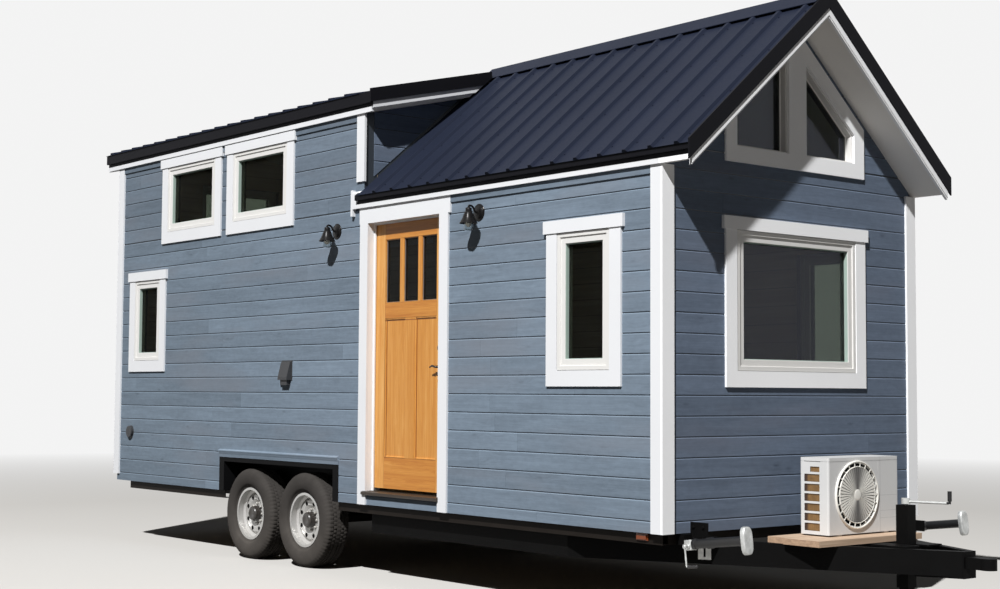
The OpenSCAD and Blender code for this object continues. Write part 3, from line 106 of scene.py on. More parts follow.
# %% A socket with operators
class Val:
    """One number in a node tree. Operators add Math nodes."""

    def __init__(self, tree, socket):
        self.tree, self.socket = tree, socket

    def math(self, operation, *others, clamp=False):
        node = self.tree.nodes.new("ShaderNodeMath")
        node.operation, node.use_clamp = operation, clamp
        for slot_in, value in zip(node.inputs, (self, *others)):
            if isinstance(value, Val):
                self.tree.links.new(value.socket, slot_in)
            else:
                slot_in.default_value = value
        return Val(self.tree, node.outputs[0])

    def __add__(self, other): return self.math("ADD", other)
    def __radd__(self, other): return self.math("ADD", other)
    def __sub__(self, other): return self.math("SUBTRACT", other)
    def __rsub__(self, other): return Val.math(self * -1.0, "ADD", other)
    def __mul__(self, other): return self.math("MULTIPLY", other)
    def __rmul__(self, other): return self.math("MULTIPLY", other)
    def __truediv__(self, other): return self.math("DIVIDE", other)
    def above(self, limit): return self.math("GREATER_THAN", limit)
    def below(self, limit): return self.math("LESS_THAN", limit)
    def clamp(self): return self.math("ADD", 0.0, clamp=True)
    def fract(self): return self.math("FRACT")
    def floor(self): return self.math("FLOOR")
    def abs(self): return self.math("ABSOLUTE")
    def power(self, exponent): return self.math("POWER", exponent)


def length(a, b):
    """The long side of a square corner with these two short sides."""
    return (a * a + b * b).power(0.5)


class Nodes:
    """A node tree under construction."""

    def __init__(self, tree):
        self.tree = tree

    def put(self, socket, value):
        """A value or a link on a socket; a colour of three numbers becomes opaque."""
        value = value.socket if isinstance(value, Val) else value
        if isinstance(value, bpy.types.NodeSocket):
            self.tree.links.new(value, socket)
        elif isinstance(value, tuple) and len(value) < len(socket.default_value):
            socket.default_value = (*value, 1.0)
        else:
            socket.default_value = value

    def add(self, kind, settings=None, **inputs):
        """A node of this type with its settings first, then its inputs by name, or by number as i0."""
        node = self.tree.nodes.new(kind)
        for key, value in (settings or {}).items():
            setattr(node, key, value)
        for key, value in inputs.items():
            self.put(node.inputs[int(key[1:]) if key[1:].isdigit() else key], value)
        return node

    def vector(self, x, y, z):
        return self.add("ShaderNodeCombineXYZ", i0=x, i1=y, i2=z).outputs[0]

    def noise(self, vector, scale=1.0, detail=3.0, rough=0.55, distortion=0.0):
        return Val(self.tree, self.add("ShaderNodeTexNoise", Vector=vector, Scale=scale, Detail=detail,
                                       Roughness=rough, Distortion=distortion).outputs[0])

    def mix(self, factor, a, b, blend="MIX"):
        """Colour a where the factor is 0 and colour b where it is 1."""
        settings = {"data_type": "RGBA", "blend_type": blend}
        return self.add("ShaderNodeMix", settings, i0=factor, i6=a, i7=b).outputs[2]

    def ramp(self, factor, stops):
        """A colour scale from (place, colour) pairs."""
        node = self.add("ShaderNodeValToRGB", i0=factor)
        while len(node.color_ramp.elements) < len(stops):
            node.color_ramp.elements.new(0.5)
        for element, (place, colour) in zip(node.color_ramp.elements, stops):
            element.position, element.color = place, (*colour, 1.0)
        return node.outputs[0]

    def blend(self, factor, first, second):
        """One shader node where the factor is 0 and another where it is 1."""
        return self.add("ShaderNodeMixShader", i0=factor, i1=first.outputs[0], i2=second.outputs[0])

    def seen(self):
        """1 on rays that bring what is looked at, straight or by glass, and 0 on those that bring light."""
        kinds = self.add("ShaderNodeLightPath").outputs
        first, *rest = [Val(self.tree, kinds[f"Is {kind} Ray"]) for kind in ("Camera", "Glossy", "Transmission")]
        for kind in rest:
            first = first.math("MAXIMUM", kind)
        return first


class Finish(Nodes):
    """A material under construction: one Principled shader and the nodes that feed it."""

    def __init__(self, name):
        self.material = bpy.data.materials.new(name)
        self.material.use_nodes = True
        super().__init__(self.material.node_tree)
        self.shader = self.tree.nodes["Principled BSDF"]
        self.coords = self.tree.nodes.new("ShaderNodeTexCoord").outputs["Object"]

    def axes(self):
        """The three object coordinates as numbers."""
        return [Val(self.tree, out) for out in self.add("ShaderNodeSeparateXYZ", i0=self.coords).outputs]

    def scaled(self, sx, sy, sz):
        """Object coordinates multiplied axis by axis, for patterns that are stretched."""
        return self.add("ShaderNodeMapping", i0=self.coords, Scale=(sx, sy, sz)).outputs[0]

    def set(self, **inputs):
        for key, value in inputs.items():
            self.put(self.shader.inputs[key.replace("_", " ")], value)

    def bump(self, height, distance, strength=1.0):
        node = self.add("ShaderNodeBump", Height=height, Distance=distance, Strength=strength)
        self.put(self.shader.inputs["Normal"], node.outputs[0])

    def end_in(self, shader):
        """The shader node that the surface shows in the end."""
        self.put(self.tree.nodes["Material Output"].inputs[0], shader.outputs[0])


# %% [markdown]
# ## Meshes from arrays
#
# Every new piece is a grid of points worked out with numpy. `quads` joins the points of a
# rows-by-columns array into faces, and `Parts` puts several such arrays in one mesh, so
# that a wall of boards is still one object. The other helpers give the forms that come
# back: a turned shape, a bar along a path, a thin plate, a block, a prism and a mitred
# moulding.

# %% Mesh helpers
def quads(rows, cols, close_rows=False, close_cols=False):
    """Indices of the quads of a rows x cols grid of points, wrapping round where asked."""
    r = np.arange(rows if close_rows else rows - 1)
    c = np.arange(cols if close_cols else cols - 1)
    r, c = np.meshgrid(r, c, indexing="ij")
    r2, c2 = (r + 1) % rows, (c + 1) % cols
    return np.stack([r * cols + c, r * cols + c2, r2 * cols + c2, r2 * cols + c], -1).reshape(-1, 4)


def make_object(name, points, faces, material, body="house", smooth=False, values=None):
    """One object from points (n x 3) and a list of faces; values holds a number for each point."""
    mesh = bpy.data.meshes.new(name)
    mesh.from_pydata(np.asarray(points, float).tolist(), [], [list(map(int, f)) for f in faces])
    if values is not None:
        layer = mesh.attributes.new("tone", "FLOAT", "POINT")
        layer.data.foreach_set("value", np.asarray(values, np.float32))
    shell = bmesh.new()
    shell.from_mesh(mesh)
    bmesh.ops.recalc_face_normals(shell, faces=shell.faces)
    shell.to_mesh(mesh)
    shell.free()
    if smooth:
        mesh.polygons.foreach_set("use_smooth", [True] * len(mesh.polygons))
        mesh.set_sharp_from_angle(angle=math.radians(smooth))
    mesh.materials.append(material)
    mesh.update()
    obj = bpy.data.objects.new(name, mesh)
    bpy.context.scene.collection.objects.link(obj)
    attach(obj, body)
    obj["dressing"] = True
    return obj


class Parts:
    """Collects point grids and faces that end up in one mesh."""

    def __init__(self):
        self.points, self.faces, self.values, self.count = [], [], [], 0

    def add(self, points, faces, value=0.0):
        points = np.asarray(points, float).reshape(-1, 3)
        self.faces += [(np.asarray(face) + self.count).tolist() for face in faces]
        self.points.append(points)
        self.values.append(np.full(len(points), value))
        self.count += len(points)
        return self

    def lay(self, form, *where):
        """Adds a form made round Z, laid by turned()."""
        return self.add(turned(form[0], *where), form[1])

    def fix(self, form, wall, value=0.0):
        """Adds a form given as (along a wall, outwards, up)."""
        return self.add(wall(*form[0].T), form[1], value)

    def build(self, name, finish, body="house", smooth=False):
        return make_object(name, np.concatenate(self.points), self.faces, finish.material, body, smooth,
                           np.concatenate(self.values))


def mm(*values, width=2):
    """Points in metres from coordinates in millimetres, listed one after another."""
    return np.array(values, float).reshape(-1, width) / 1000.0


def lathe(profile, steps=48, closed=False):
    """A turned shape round Z from (radius, height) pairs; a pair on the axis becomes one point.

    point(row, k) = (radius_row cos t_k, radius_row sin t_k, height_row), t_k = 2 pi k / steps
    """
    radius, height = np.array(profile, float).T
    turn = np.arange(steps) * (2 * math.pi / steps)
    grid = np.stack([np.outer(radius, np.cos(turn)), np.outer(radius, np.sin(turn)),
                     np.repeat(height[:, None], steps, 1)], -1).reshape(-1, 3)
    index = np.arange(len(radius) * steps).reshape(-1, steps)
    index[radius < 1e-9] = index[radius < 1e-9][:, :1]
    faces = index.reshape(-1)[quads(len(radius), steps, closed, True)]
    used, faces = np.unique(faces, return_inverse=True)
    faces = [list(dict.fromkeys(face)) for face in faces.reshape(-1, 4).tolist()]
    return grid[used], [face for face in faces if len(face) > 2]


def rod(path, radius, steps=16):
    """A round bar along a path: rings square to the path, with a flat cap at each end.

    The side vector of a ring is the part of a fixed vector that is square to the path there.
    """
    path = np.array(path, float)
    along = np.gradient(path, axis=0)
    along /= np.linalg.norm(along, axis=1)[:, None]
    span = path[-1] - path[0] + 1e-9
    fixed = np.eye(3)[np.argmin(np.abs(span) + np.abs(along).sum(0) * 1e-3)]
    side = fixed - along * (along @ fixed)[:, None]
    side /= np.linalg.norm(side, axis=1)[:, None]
    other = np.cross(along, side)
    turn = np.arange(steps) * (2 * math.pi / steps)
    radius = np.broadcast_to(np.asarray(radius, float), (len(path),))[:, None, None]
    rings = path[:, None] + radius * (side[:, None] * np.cos(turn)[:, None] + other[:, None] * np.sin(turn)[:, None])
    n = len(path) * steps
    faces = quads(len(path), steps, False, True).tolist() + [list(range(steps)), list(range(n - steps, n))]
    return rings.reshape(-1, 3), faces


def slab(x0, x1, y0, y1, z0, z1, ease=0.002):
    """A box whose twelve edges are eased, as three crossing blocks of one convex shape.

    Each corner is three points, one on each face that meets there, ease away from the edges.
    """
    low, high = np.array([x0, y0, z0]), np.array([x1, y1, z1])
    corners = np.stack(np.meshgrid((0, 1), (0, 1), (0, 1), indexing="ij"), -1).reshape(-1, 3)
    points = []
    for axis in range(3):
        inset = np.full(3, ease)
        inset[axis] = 0.0
        points.append(np.where(corners, high - inset, low + inset))
    points = np.stack(points, 1).reshape(-1, 3)
    faces = [[i * 3, i * 3 + 1, i * 3 + 2] for i in range(8)]
    for axis in range(3):
        rest = [a for a in range(3) if a != axis]
        step = 2 ** (2 - axis)
        s0, s1 = (2 ** (2 - rest[0]), 2 ** (2 - rest[1]))
        for side in (0, step):
            faces.append([(side + k) * 3 + axis for k in (0, s0, s0 + s1, s1)])
        for a in (0, s0):
            for b in (0, s1):
                first, last = a + b, a + b + step
                faces.append([first * 3 + rest[0], last * 3 + rest[0], last * 3 + rest[1], first * 3 + rest[1]])
    return points, faces


def plate(grid, shift):
    """A closed plate: a sheet of points (rows x cols x 3) with two faces that lie shift apart.

    Each row becomes a loop, forwards over one face and backwards over the other.
    """
    shift = np.asarray(shift, float)
    loop = np.concatenate([grid + shift / 2, (grid - shift / 2)[:, ::-1]], 1)
    rows, cols = loop.shape[:2]
    k = np.arange(cols // 2 - 1)
    cap = np.stack([k, k + 1, cols - 2 - k, cols - 1 - k], 1)
    faces = np.concatenate([quads(rows, cols, False, True), cap, cap + (rows - 1) * cols])
    return loop.reshape(-1, 3), faces


def rounded(path):
    """A path with its corners cut three times: points 1/4 and 3/4 along its two legs replace a bend."""
    path = np.array(path, float)
    for _ in range(3):
        cut = np.stack([0.75 * path[:-1] + 0.25 * path[1:], 0.25 * path[:-1] + 0.75 * path[1:]], 1).reshape(-1, 3)
        path = np.concatenate([path[:1], cut[1:-1], path[-1:]])
    return path


def moulding(outline, profile):
    """A closed moulding inside an outline: profile gives (inwards, outwards from the wall) pairs.

    A corner moves inwards along its mitre, m = (n1 + n2) / (1 + n1 . n2) for inward normals n1, n2.
    """
    corners = np.array(outline, float)
    edge = np.roll(corners, -1, 0) - corners
    edge /= np.linalg.norm(edge, axis=1)[:, None]
    turn = np.sign(np.sum(edge[:, 0] * np.roll(edge, -1, 0)[:, 1] - edge[:, 1] * np.roll(edge, -1, 0)[:, 0]))
    normal = turn * np.stack([-edge[:, 1], edge[:, 0]], 1)
    before = np.roll(normal, 1, 0)
    mitre = (normal + before) / (1.0 + np.sum(normal * before, 1))[:, None]
    rows = np.array(profile, float)
    flat = corners[None] + rows[:, 0, None, None] * mitre[None]
    out = np.repeat(rows[:, 1, None], len(corners), 1)
    points = np.stack([flat[..., 0], out, flat[..., 1]], -1).reshape(-1, 3)
    return points, quads(len(rows), len(corners), True, True)


def turned(points, axis="z", place=(0.0, 0.0, 0.0), angle=0.0):
    """Points made round Z, laid with Z along another axis, turned by an angle first and moved."""
    c, s_ = math.cos(angle), math.sin(angle)
    x, y, z = np.asarray(points, float).T
    x, y = x * c - y * s_, x * s_ + y * c
    lay = {"z": (x, y, z), "-z": (x, -y, -z), "x": (z, x, y), "-x": (-z, -x, y),
           "y": (y, z, x), "-y": (x, -z, y)}[axis]
    return np.stack(lay, 1) + np.array(place)


def prism(first, last):
    """A closed form between two outlines with the same number of points."""
    n = len(first)
    faces = quads(2, n, False, True).tolist() + [list(range(n)), list(range(n, 2 * n))]
    return np.concatenate([first, last]), faces


def assign(node_names, finish):
    """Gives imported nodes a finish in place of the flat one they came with."""
    for name in node_names.split():
        for place in nodes[name].material_slots:
            place.material = finish.material


# %% [markdown]
# ## Painted siding
#
# The walls are softwood boards under a blue-grey stain that lets the grain through. The
# grain is long noise stretched along each board, darker in thin streaks, and every board
# takes a slightly different tone from its own number. A lighter line along each board's
# upper edge is a painted highlight where the sun catches its slope. The long sides turn a
# little darker towards the rear, and under the upper eave they carry painted shade.

# %% Siding finish
def siding_finish(name, base, along):
    """Stained boards; along says which axis the grain follows, 0 for X and 1 for Y."""
    f = Finish(name)
    x, y, z = f.axes()
    run = x if along == 0 else y
    tone = Val(f.tree, f.add("ShaderNodeAttribute", {"attribute_name": "tone"}).outputs["Fac"])
    courses = (z - (BASE_Z + FIRST_LINE)) / COURSE
    row = courses.floor()
    knot_at = f.vector(run * 2.6 + row * 5.3, z * 9.0, row * 3.1 + tone * 9.0)
    from_knot = Val(f.tree, f.add("ShaderNodeTexVoronoi", Vector=knot_at, Scale=1.0).outputs["Distance"])
    knot = (1.0 - from_knot * 9.0).clamp()
    bend = (1.0 - from_knot * 2.6).clamp()
    grain_at = f.vector(run * 1.6 + tone * 37.0, row * 3.7, z * 30.0 + bend * 1.6)
    grain = f.noise(grain_at, 1.0, 5.0, 0.6, 0.35)
    streak = f.noise(f.vector(run * 5.0 + tone * 11.0, row * 1.3, z * 150.0), 1.0, 3.0, 0.6)
    cloud = f.noise(f.vector(run * 0.8, row * 0.5, z * 1.5), 1.0, 2.0, 0.5)
    mottle = f.noise(f.vector(run * 16.0, row * 2.9, z * 34.0), 1.0, 3.0, 0.65)
    shade = (grain - 0.5) * 0.62 + (streak - 0.5) * 0.35 + (cloud - 0.5) * 0.45 + (tone - 0.5) * 0.24
    shade = shade + (mottle - 0.5) * 0.4 - knot * 0.35 - bend * 0.05
    level = (shade + 0.5).clamp()
    dark, mid, light = [tuple(c * k for c in base) for k in (0.6, 1.0, 1.45)]
    colour = f.ramp(level, [(0.0, dark), (0.5, mid), (1.0, light)])
    faded = (f.noise(f.vector(run * 0.55 + 7.0, row * 0.3, z * 2.2), 1.0, 3.0, 0.6) - 0.52) * 3.0
    colour = f.mix(faded.clamp(), colour, (base[0] * 1.16, base[1], base[2] * 0.93))
    # a lighter line along each board's upper edge: a painted highlight where the sun catches its slope
    lit_top_edge = courses.fract().above(1.0 - (EASE_TOP + GROOVE) / COURSE)
    colour = f.mix(lit_top_edge * 0.26, colour, tuple(min(1.0, c * 1.7) for c in base))
    if along == 0:
        # the long sides turn a little darker towards the rear
        rearwards = ((-4.6 - x) / 3.0).clamp()
        colour = f.mix(rearwards, colour, (0.935, 0.94, 0.933), "MULTIPLY")
        # painted shade high up on the long sides, under the upper eave
        high = ((z - 2.7) / 0.35).clamp() * ((-4.0 - x) / 0.15).clamp()
        colour = f.mix(high, colour, (0.86, 0.85, 0.85), "MULTIPLY")
    f.set(Base_Color=colour, Roughness=0.52 + (grain - 0.5) * 0.25, Specular_IOR_Level=0.05)
    f.bump(grain * 0.6 + streak * 0.4, 0.0012, 0.55)
    return f


SIDE_BLUE = (0.166, 0.21, 0.262)
# the walls across the house take a darker copy of the stain: painted shade for the weaker light they get
END_BLUE_SHADED = (0.123, 0.156, 0.212)
siding_x = siding_finish("siding_along_x", SIDE_BLUE, 0)
# the drip boards' nose takes a lighter copy of the sides' stain: a painted highlight on its sunlit slope
drip_nose_highlight = siding_finish("drip_nose_painted_highlight", tuple(c * 1.25 for c in SIDE_BLUE), 0)
siding_y_shaded = siding_finish("siding_along_y_shaded", END_BLUE_SHADED, 1)
print("nodes in the side's stain", len(siding_x.tree.nodes))

# %% [markdown]
# ## The camera comes first
#
# The photograph was taken from near the ground, about ten metres off the front corner
# on the entrance side. The lens angle and the place were worked out from the lines of
# the siding, so the camera is set by numbers instead of by eye.

# %% Camera
def camera_matrix(place, yaw, pitch, roll):
    """Columns right, up and back of a camera turned by yaw, tipped by pitch and rolled."""
    forward = np.array([-math.sin(yaw) * math.cos(pitch), math.cos(yaw) * math.cos(pitch), math.sin(pitch)])
    level = np.array([math.cos(yaw), math.sin(yaw), 0.0])
    over = np.cross(level, forward)
    right = math.cos(roll) * level + math.sin(roll) * over
    up = math.cos(roll) * over - math.sin(roll) * level
    matrix = np.eye(4)
    matrix[:3, 0], matrix[:3, 1], matrix[:3, 2], matrix[:3, 3] = right, up, -forward, place
    return matrix


camera_data = bpy.data.cameras.new("photo_camera")
camera_data.lens, camera_data.sensor_width, camera_data.sensor_fit = 56.98, 36.0, "HORIZONTAL"
camera_data.clip_end = 500.0
camera = bpy.data.objects.new("photo_camera", camera_data)
YAW, PITCH, ROLL = np.radians((50.465, 3.546, 0.334)).tolist()
camera.matrix_world = camera_matrix((6.038, -8.271, 1.424), YAW, PITCH, ROLL).T.tolist()
bpy.context.scene.collection.objects.link(camera)
bpy.context.scene.camera = camera
print("camera at", [round(v, 3) for v in camera.location])

# %% [markdown]
# ## Light and ground
#
# One small strong lamp stands far off and high on the entrance side, a little to the
# front, as the sun did. A pale sky fills the shadows. The ground is a pale plane that fades into the same pale
# sky far away, so there is no horizon line, and it keeps the shadow of the house.

# %% Lamps, sky and floor
BACKDROP = 0.90      # how bright the backdrop shows, 1 is white
SKY = 0.048          # how much light the sky gives
TO_SUN = (0.3615, -0.6145, 0.7012)   # from the shadow of the gable's overhang on the front wall
SUN_FAR, SUN_SIZE, SUN_POWER = 60.0, 1.2, 60400.0
MIDDLE = (-4.0, 0.0, 1.8)            # middle of the house, which the lamp looks at
CLEAR, FADE = 9.0, 16.0              # the ground is plain this far from the middle, then fades over so much


def area_lamp(name, place, target, size, power):
    """A square lamp that looks at a point."""
    data = bpy.data.lights.new(name, "AREA")
    data.shape, data.size, data.energy = "SQUARE", size, power
    lamp = bpy.data.objects.new(name, data)
    away = np.array(place, float) - np.array(target, float)
    away /= np.linalg.norm(away)
    side = np.cross((0.0, 0.0, 1.0), away)
    side /= np.linalg.norm(side)
    matrix = np.eye(4)
    matrix[:3, 0], matrix[:3, 1], matrix[:3, 2], matrix[:3, 3] = side, np.cross(away, side), away, place
    lamp.matrix_world = matrix.T.tolist()
    bpy.context.scene.collection.objects.link(lamp)


area_lamp("key", [m + SUN_FAR * t for m, t in zip(MIDDLE, TO_SUN)], MIDDLE, SUN_SIZE, SUN_POWER)

world = bpy.data.worlds.new("studio")
bpy.context.scene.world = world
world.use_nodes = True
world.node_tree.nodes.clear()
sky = Nodes(world.node_tree)
lit = sky.add("ShaderNodeBackground", i0=(1.0, 0.98, 0.96), i1=SKY)
shown = sky.add("ShaderNodeBackground", i0=(1.0, 1.0, 1.0), i1=BACKDROP)
sky.add("ShaderNodeOutputWorld", i0=sky.blend(sky.seen(), lit, shown).outputs[0])

floor_mesh = bpy.data.meshes.new("ground")
FAR = 90.0
floor_mesh.from_pydata([(-FAR, -FAR, 0), (FAR, -FAR, 0), (FAR, FAR, 0), (-FAR, FAR, 0)], [], [(0, 1, 2, 3)])
ground = bpy.data.objects.new("ground", floor_mesh)
bpy.context.scene.collection.objects.link(ground)
f = Finish("ground_pale")
x, y, _ = f.axes()
beyond = (length(x - MIDDLE[0], y) - CLEAR) / FADE
looked_at = f.seen()
dim, bright = [f.add("ShaderNodeEmission", Color=(1.0, 1.0, 1.0), Strength=power) for power in (SKY, BACKDROP)]
ahead = ((x + 0.9) * 2.0).clamp()        # 0 under the house and 1 in front of its wall
bounce = f.mix(ahead, (0.07, 0.067, 0.064), (0.14, 0.134, 0.127))
pale = f.mix(looked_at, bounce, (0.6, 0.585, 0.56))
f.set(Base_Color=pale, Roughness=0.95, Specular_IOR_Level=0.0)
f.end_in(f.blend(beyond.clamp(), f.shader, f.blend(looked_at, dim, bright)))
floor_mesh.materials.append(f.material)

bpy.context.scene.view_settings.view_transform = "Standard"
print("lamps and ground are in place")

# %% [markdown]
# ## Plain finishes
#
# Paint, steel, rubber and zinc differ in three things: colour, how sharp their shine is,
# and the small unevenness of the surface. One function makes them all from those values.

# %% Paints and metals
def coated(name, base, rough=0.5, metal=0.0, uneven=0.1, size=6.0, fine=90.0, depth=0.0004,
           dust=None, coat=0.0, change=None, shine=0.5):
    """A coated surface: cloudy tone, fine grain in the shine and the bump, dust low down.

    dust is (colour, height where it begins to thin, height over which it ends, strength);
    change is a function that may alter the colour from place to place.
    """
    f = Finish(name)
    cloud = f.noise(f.coords, size, 3.0, 0.55)
    grain = f.noise(f.coords, fine, 3.0, 0.6)
    level = ((cloud - 0.5) * 1.3 + (grain - 0.5) * 0.5 + 0.5).clamp()
    dark, light = [tuple(min(1.0, c * k) for c in base) for k in (1.0 - uneven, 1.0 + uneven)]
    colour = f.mix(level, dark, light)
    if dust:
        x, y, z = f.axes()
        low = (1.0 - (z - dust[1]) / dust[2]).clamp() * (0.35 + cloud * 0.9)
        colour = f.mix((low * dust[3]).clamp(), colour, dust[0])
    if change:
        colour = change(f, colour)
    f.set(Base_Color=colour, Metallic=metal, Roughness=((grain - 0.5) * 0.22 + rough).clamp(),
          Coat_Weight=coat, Specular_IOR_Level=shine)
    f.bump(grain, depth, 0.5)
    return f


def trim_painted_light(f, colour):
    """Trim on the front wall keeps its full white and the rest is darker: painted light for how the sun falls."""
    x, y, z = f.axes()
    front_kept_bright = x.above(FRONT_X + 0.001) * y.abs().below(1.4)
    return f.mix(1.0 - front_kept_bright, colour, (0.792, 0.797, 0.808), "MULTIPLY")


def rim_hole_shade(f, colour):
    """Painted shade round the eight holes of a rim, whose centres lie 137 mm from the axle."""
    x, y, z = f.axes()
    from_axle, up = (x - AXLES_X).abs() - HALF_AXLES, z - HUB_Z
    eighth = math.pi / 4
    turn = ((up.math("ARCTAN2", from_axle) / eighth).fract() - 0.5) * eighth
    radius = length(from_axle, up)
    side, off = radius * turn.math("SINE"), radius * turn.math("COSINE") - 0.137
    return f.mix(length(side, off).below(0.0185), colour, (0.012, 0.011, 0.011))


def grip_black(f, colour):
    """The jack's crank ends in a black grip, 262 mm from the jack's axis and above the bar."""
    x, y, z = f.axes()
    grip = length(x, y).above(0.262) * z.above(0.757)
    return f.mix(grip, colour, (0.014, 0.014, 0.015))


def vane_painted_shade(f, colour):
    """The guard's vanes are painted darker above and below the fan's middle: painted shade."""
    x, y, z = f.axes()
    up = z - FAN_CENTRE[2]
    radius = length(y - FAN_CENTRE[1], up) + 0.0001
    steep_shade = (up.abs() / radius).power(6.0) * radius.below(0.1768) * radius.above(0.036)
    return f.mix(steep_shade * 0.95, colour, (0.045, 0.042, 0.042))


def hinge_bronze(f, colour):
    """The hinges' fixed knuckles on the jamb are bronze."""
    x, y, z = f.axes()
    first, *rest = [(z - (BASE_Z + LEAF_Z + foot + PIN_H / 2)).abs().below(0.027) for foot in HINGES]
    for knuckle in rest:
        first = first + knuckle
    return f.mix(x.below(-4.01) * y.above(BACK) * first, colour, (0.052, 0.04, 0.031))


DUST = (0.24, 0.2, 0.15)
white_paint = coated("white_paint", (0.94, 0.945, 0.955), 0.45, uneven=0.03, size=2.0, fine=60.0,
                     change=trim_painted_light, shine=0.3)
frame_white = coated("window_vinyl", (0.705, 0.695, 0.672), 0.38, uneven=0.02, size=3.0, fine=80.0)
soffit_paint = coated("soffit_paint", (0.86, 0.835, 0.8), 0.6, uneven=0.05, size=2.5)
roof_paint = coated("roof_steel", (0.0136, 0.0172, 0.0305), 0.5, uneven=0.14, size=1.2, fine=45.0, shine=0.03)
flashing_paint = coated("flashing_steel", (0.0065, 0.0065, 0.0085), 0.5, uneven=0.12, size=2.0, shine=0.05)
chassis_paint = coated("chassis_black", (0.009, 0.0072, 0.0064), 0.5, uneven=0.25, size=5.0,
                       dust=(DUST, 0.15, 0.55, 0.06), shine=0.06)
tongue_paint = coated("tongue_black", (0.0038, 0.0037, 0.0037), 0.55, uneven=0.25, size=5.0, shine=0.04)
opening_black = coated("opening_black", (0.0055, 0.0055, 0.006), 0.45, uneven=0.15, size=4.0, shine=0.03)
rim_silver = coated("rim_silver", (0.56, 0.56, 0.55), 0.34, metal=0.45, uneven=0.06, size=12.0, fine=200.0,
                    dust=((0.3, 0.25, 0.2), 0.1, 0.75, 0.3), change=rim_hole_shade)
tyre_rubber = coated("tyre_rubber", (0.046, 0.042, 0.039), 0.85, uneven=0.22, size=9.0, fine=220.0, depth=0.0006,
                     dust=((0.13, 0.115, 0.1), 0.0, 0.6, 0.45), shine=0.08)
crank_metal = coated("crank_zinc", (0.56, 0.57, 0.56), 0.36, metal=0.4, uneven=0.18, size=26.0, fine=140.0,
                     change=grip_black)
nut_steel = coated("nut_steel", (0.3, 0.29, 0.27), 0.45, metal=0.3, uneven=0.2, size=30.0, fine=140.0)
bronze = coated("dark_bronze", (0.052, 0.04, 0.031), 0.4, metal=0.6, uneven=0.15, size=14.0)
lamp_black = coated("lamp_black", (0.0095, 0.009, 0.009), 0.28, metal=0.25, uneven=0.12, size=20.0, shine=0.15)
grille_plastic = coated("grille_plastic", (0.8, 0.785, 0.73), 0.36, uneven=0.03, size=8.0, coat=0.2,
                        change=vane_painted_shade)
jamb_paint = coated("jamb_cream", (0.8, 0.805, 0.81), 0.42, uneven=0.03, size=3.0, change=hinge_bronze)
bead_sage = coated("bead_sage", (0.33, 0.42, 0.37), 0.5, uneven=0.04, size=8.0)
vent_grey = coated("vent_grey", (0.04, 0.041, 0.044), 0.5, uneven=0.08, size=12.0, shine=0.25)
spacer_brown = coated("spacer_brown", (0.155, 0.125, 0.11), 0.45, uneven=0.08, size=20.0)
gasket_black = coated("gasket_black", (0.015, 0.015, 0.016), 0.6, uneven=0.1, size=30.0, shine=0.1)
cap_black = coated("hub_cap_black", (0.026, 0.022, 0.019), 0.32, uneven=0.15, size=18.0, coat=0.3)
fan_grey = coated("fan_grey", (0.055, 0.053, 0.05), 0.5, uneven=0.1, size=14.0, shine=0.15)

assign("side_rails main_beams cross_members axles suspension", chassis_paint)
assign("tongue_rails coupler tongue_jack corner_jack_brackets", tongue_paint)
assign("wheel_wells well_trims", opening_black)
assign("rim_front_left rim_front_right rim_rear_left rim_rear_right", rim_silver)
assign("corner_boards roof_trim window_casings door_casing", white_paint)
assign("gable_deck dormer_deck", soffit_paint)
assign("gable_roof_left gable_roof_right dormer_roof_left dormer_roof_right ridge_cap", roof_paint)
assign("roof_flashings", flashing_paint)
assign("door_frame", jamb_paint)
assign("threshold", bronze)
assign("wall_fittings", vent_grey)
assign("jack_crank", crank_metal)
assign("friezes", siding_x)
print("finishes so far", len(bpy.data.materials))

# %% [markdown]
# ## Finishes that change from place to place
#
# A corner jack is one solid, but its tube is painted black and its head, crank and foot
# are zinc plated. Its shader measures how far along the jack a point is. The amber
# marker lamps and the zinc tie plates share a node too and are told apart by their
# distance from the centre line. The outdoor unit stands on two pale planks with darker
# end grain.

# %% Jacks, markers and planks
def jack_finish():
    f = Finish("corner_jack_metal")
    x, y, z = f.axes()
    from_x, from_z = x - JACK_PIN[0], z - JACK_PIN[2]
    along = from_x * math.cos(JACK_LEAN) + from_z * math.sin(JACK_LEAN)
    up = from_z * math.cos(JACK_LEAN) - from_x * math.sin(JACK_LEAN)
    plated = along.above(0.297).math("MAXIMUM", along.below(-0.1145)).math("MAXIMUM", up.below(-0.1))
    cloud = f.noise(f.coords, 24.0, 4.0, 0.6)
    bright = f.ramp(cloud, [(0.3, (0.42, 0.43, 0.42)), (0.7, (0.66, 0.67, 0.66))])
    grip = up.below(-0.1245) * along.above(-0.1195)
    metal = f.mix(plated, (0.0065, 0.0065, 0.007), bright)
    f.set(Base_Color=f.mix(grip, metal, (0.02, 0.019, 0.02)), Metallic=plated * (1.0 - grip) * 0.6,
          Roughness=0.36 + cloud * 0.15)
    f.bump(cloud, 0.0006, 0.5)
    return f


def marker_finish():
    f = Finish("marker_amber")
    x, y, z = f.axes()
    lens = y.abs().above(1.0)
    flutes = ((x * 160.0).fract() - 0.5).abs()
    cloud = f.noise(f.coords, 30.0, 3.0, 0.6)
    bright = f.ramp(cloud, [(0.3, (0.3, 0.3, 0.29)), (0.7, (0.5, 0.5, 0.48))])
    f.set(Base_Color=f.mix(lens, bright, (0.17, 0.034, 0.006)), Metallic=(1.0 - lens) * 0.6, Roughness=0.3)
    f.bump(flutes * lens + cloud * 0.2, 0.001, 0.5)
    return f


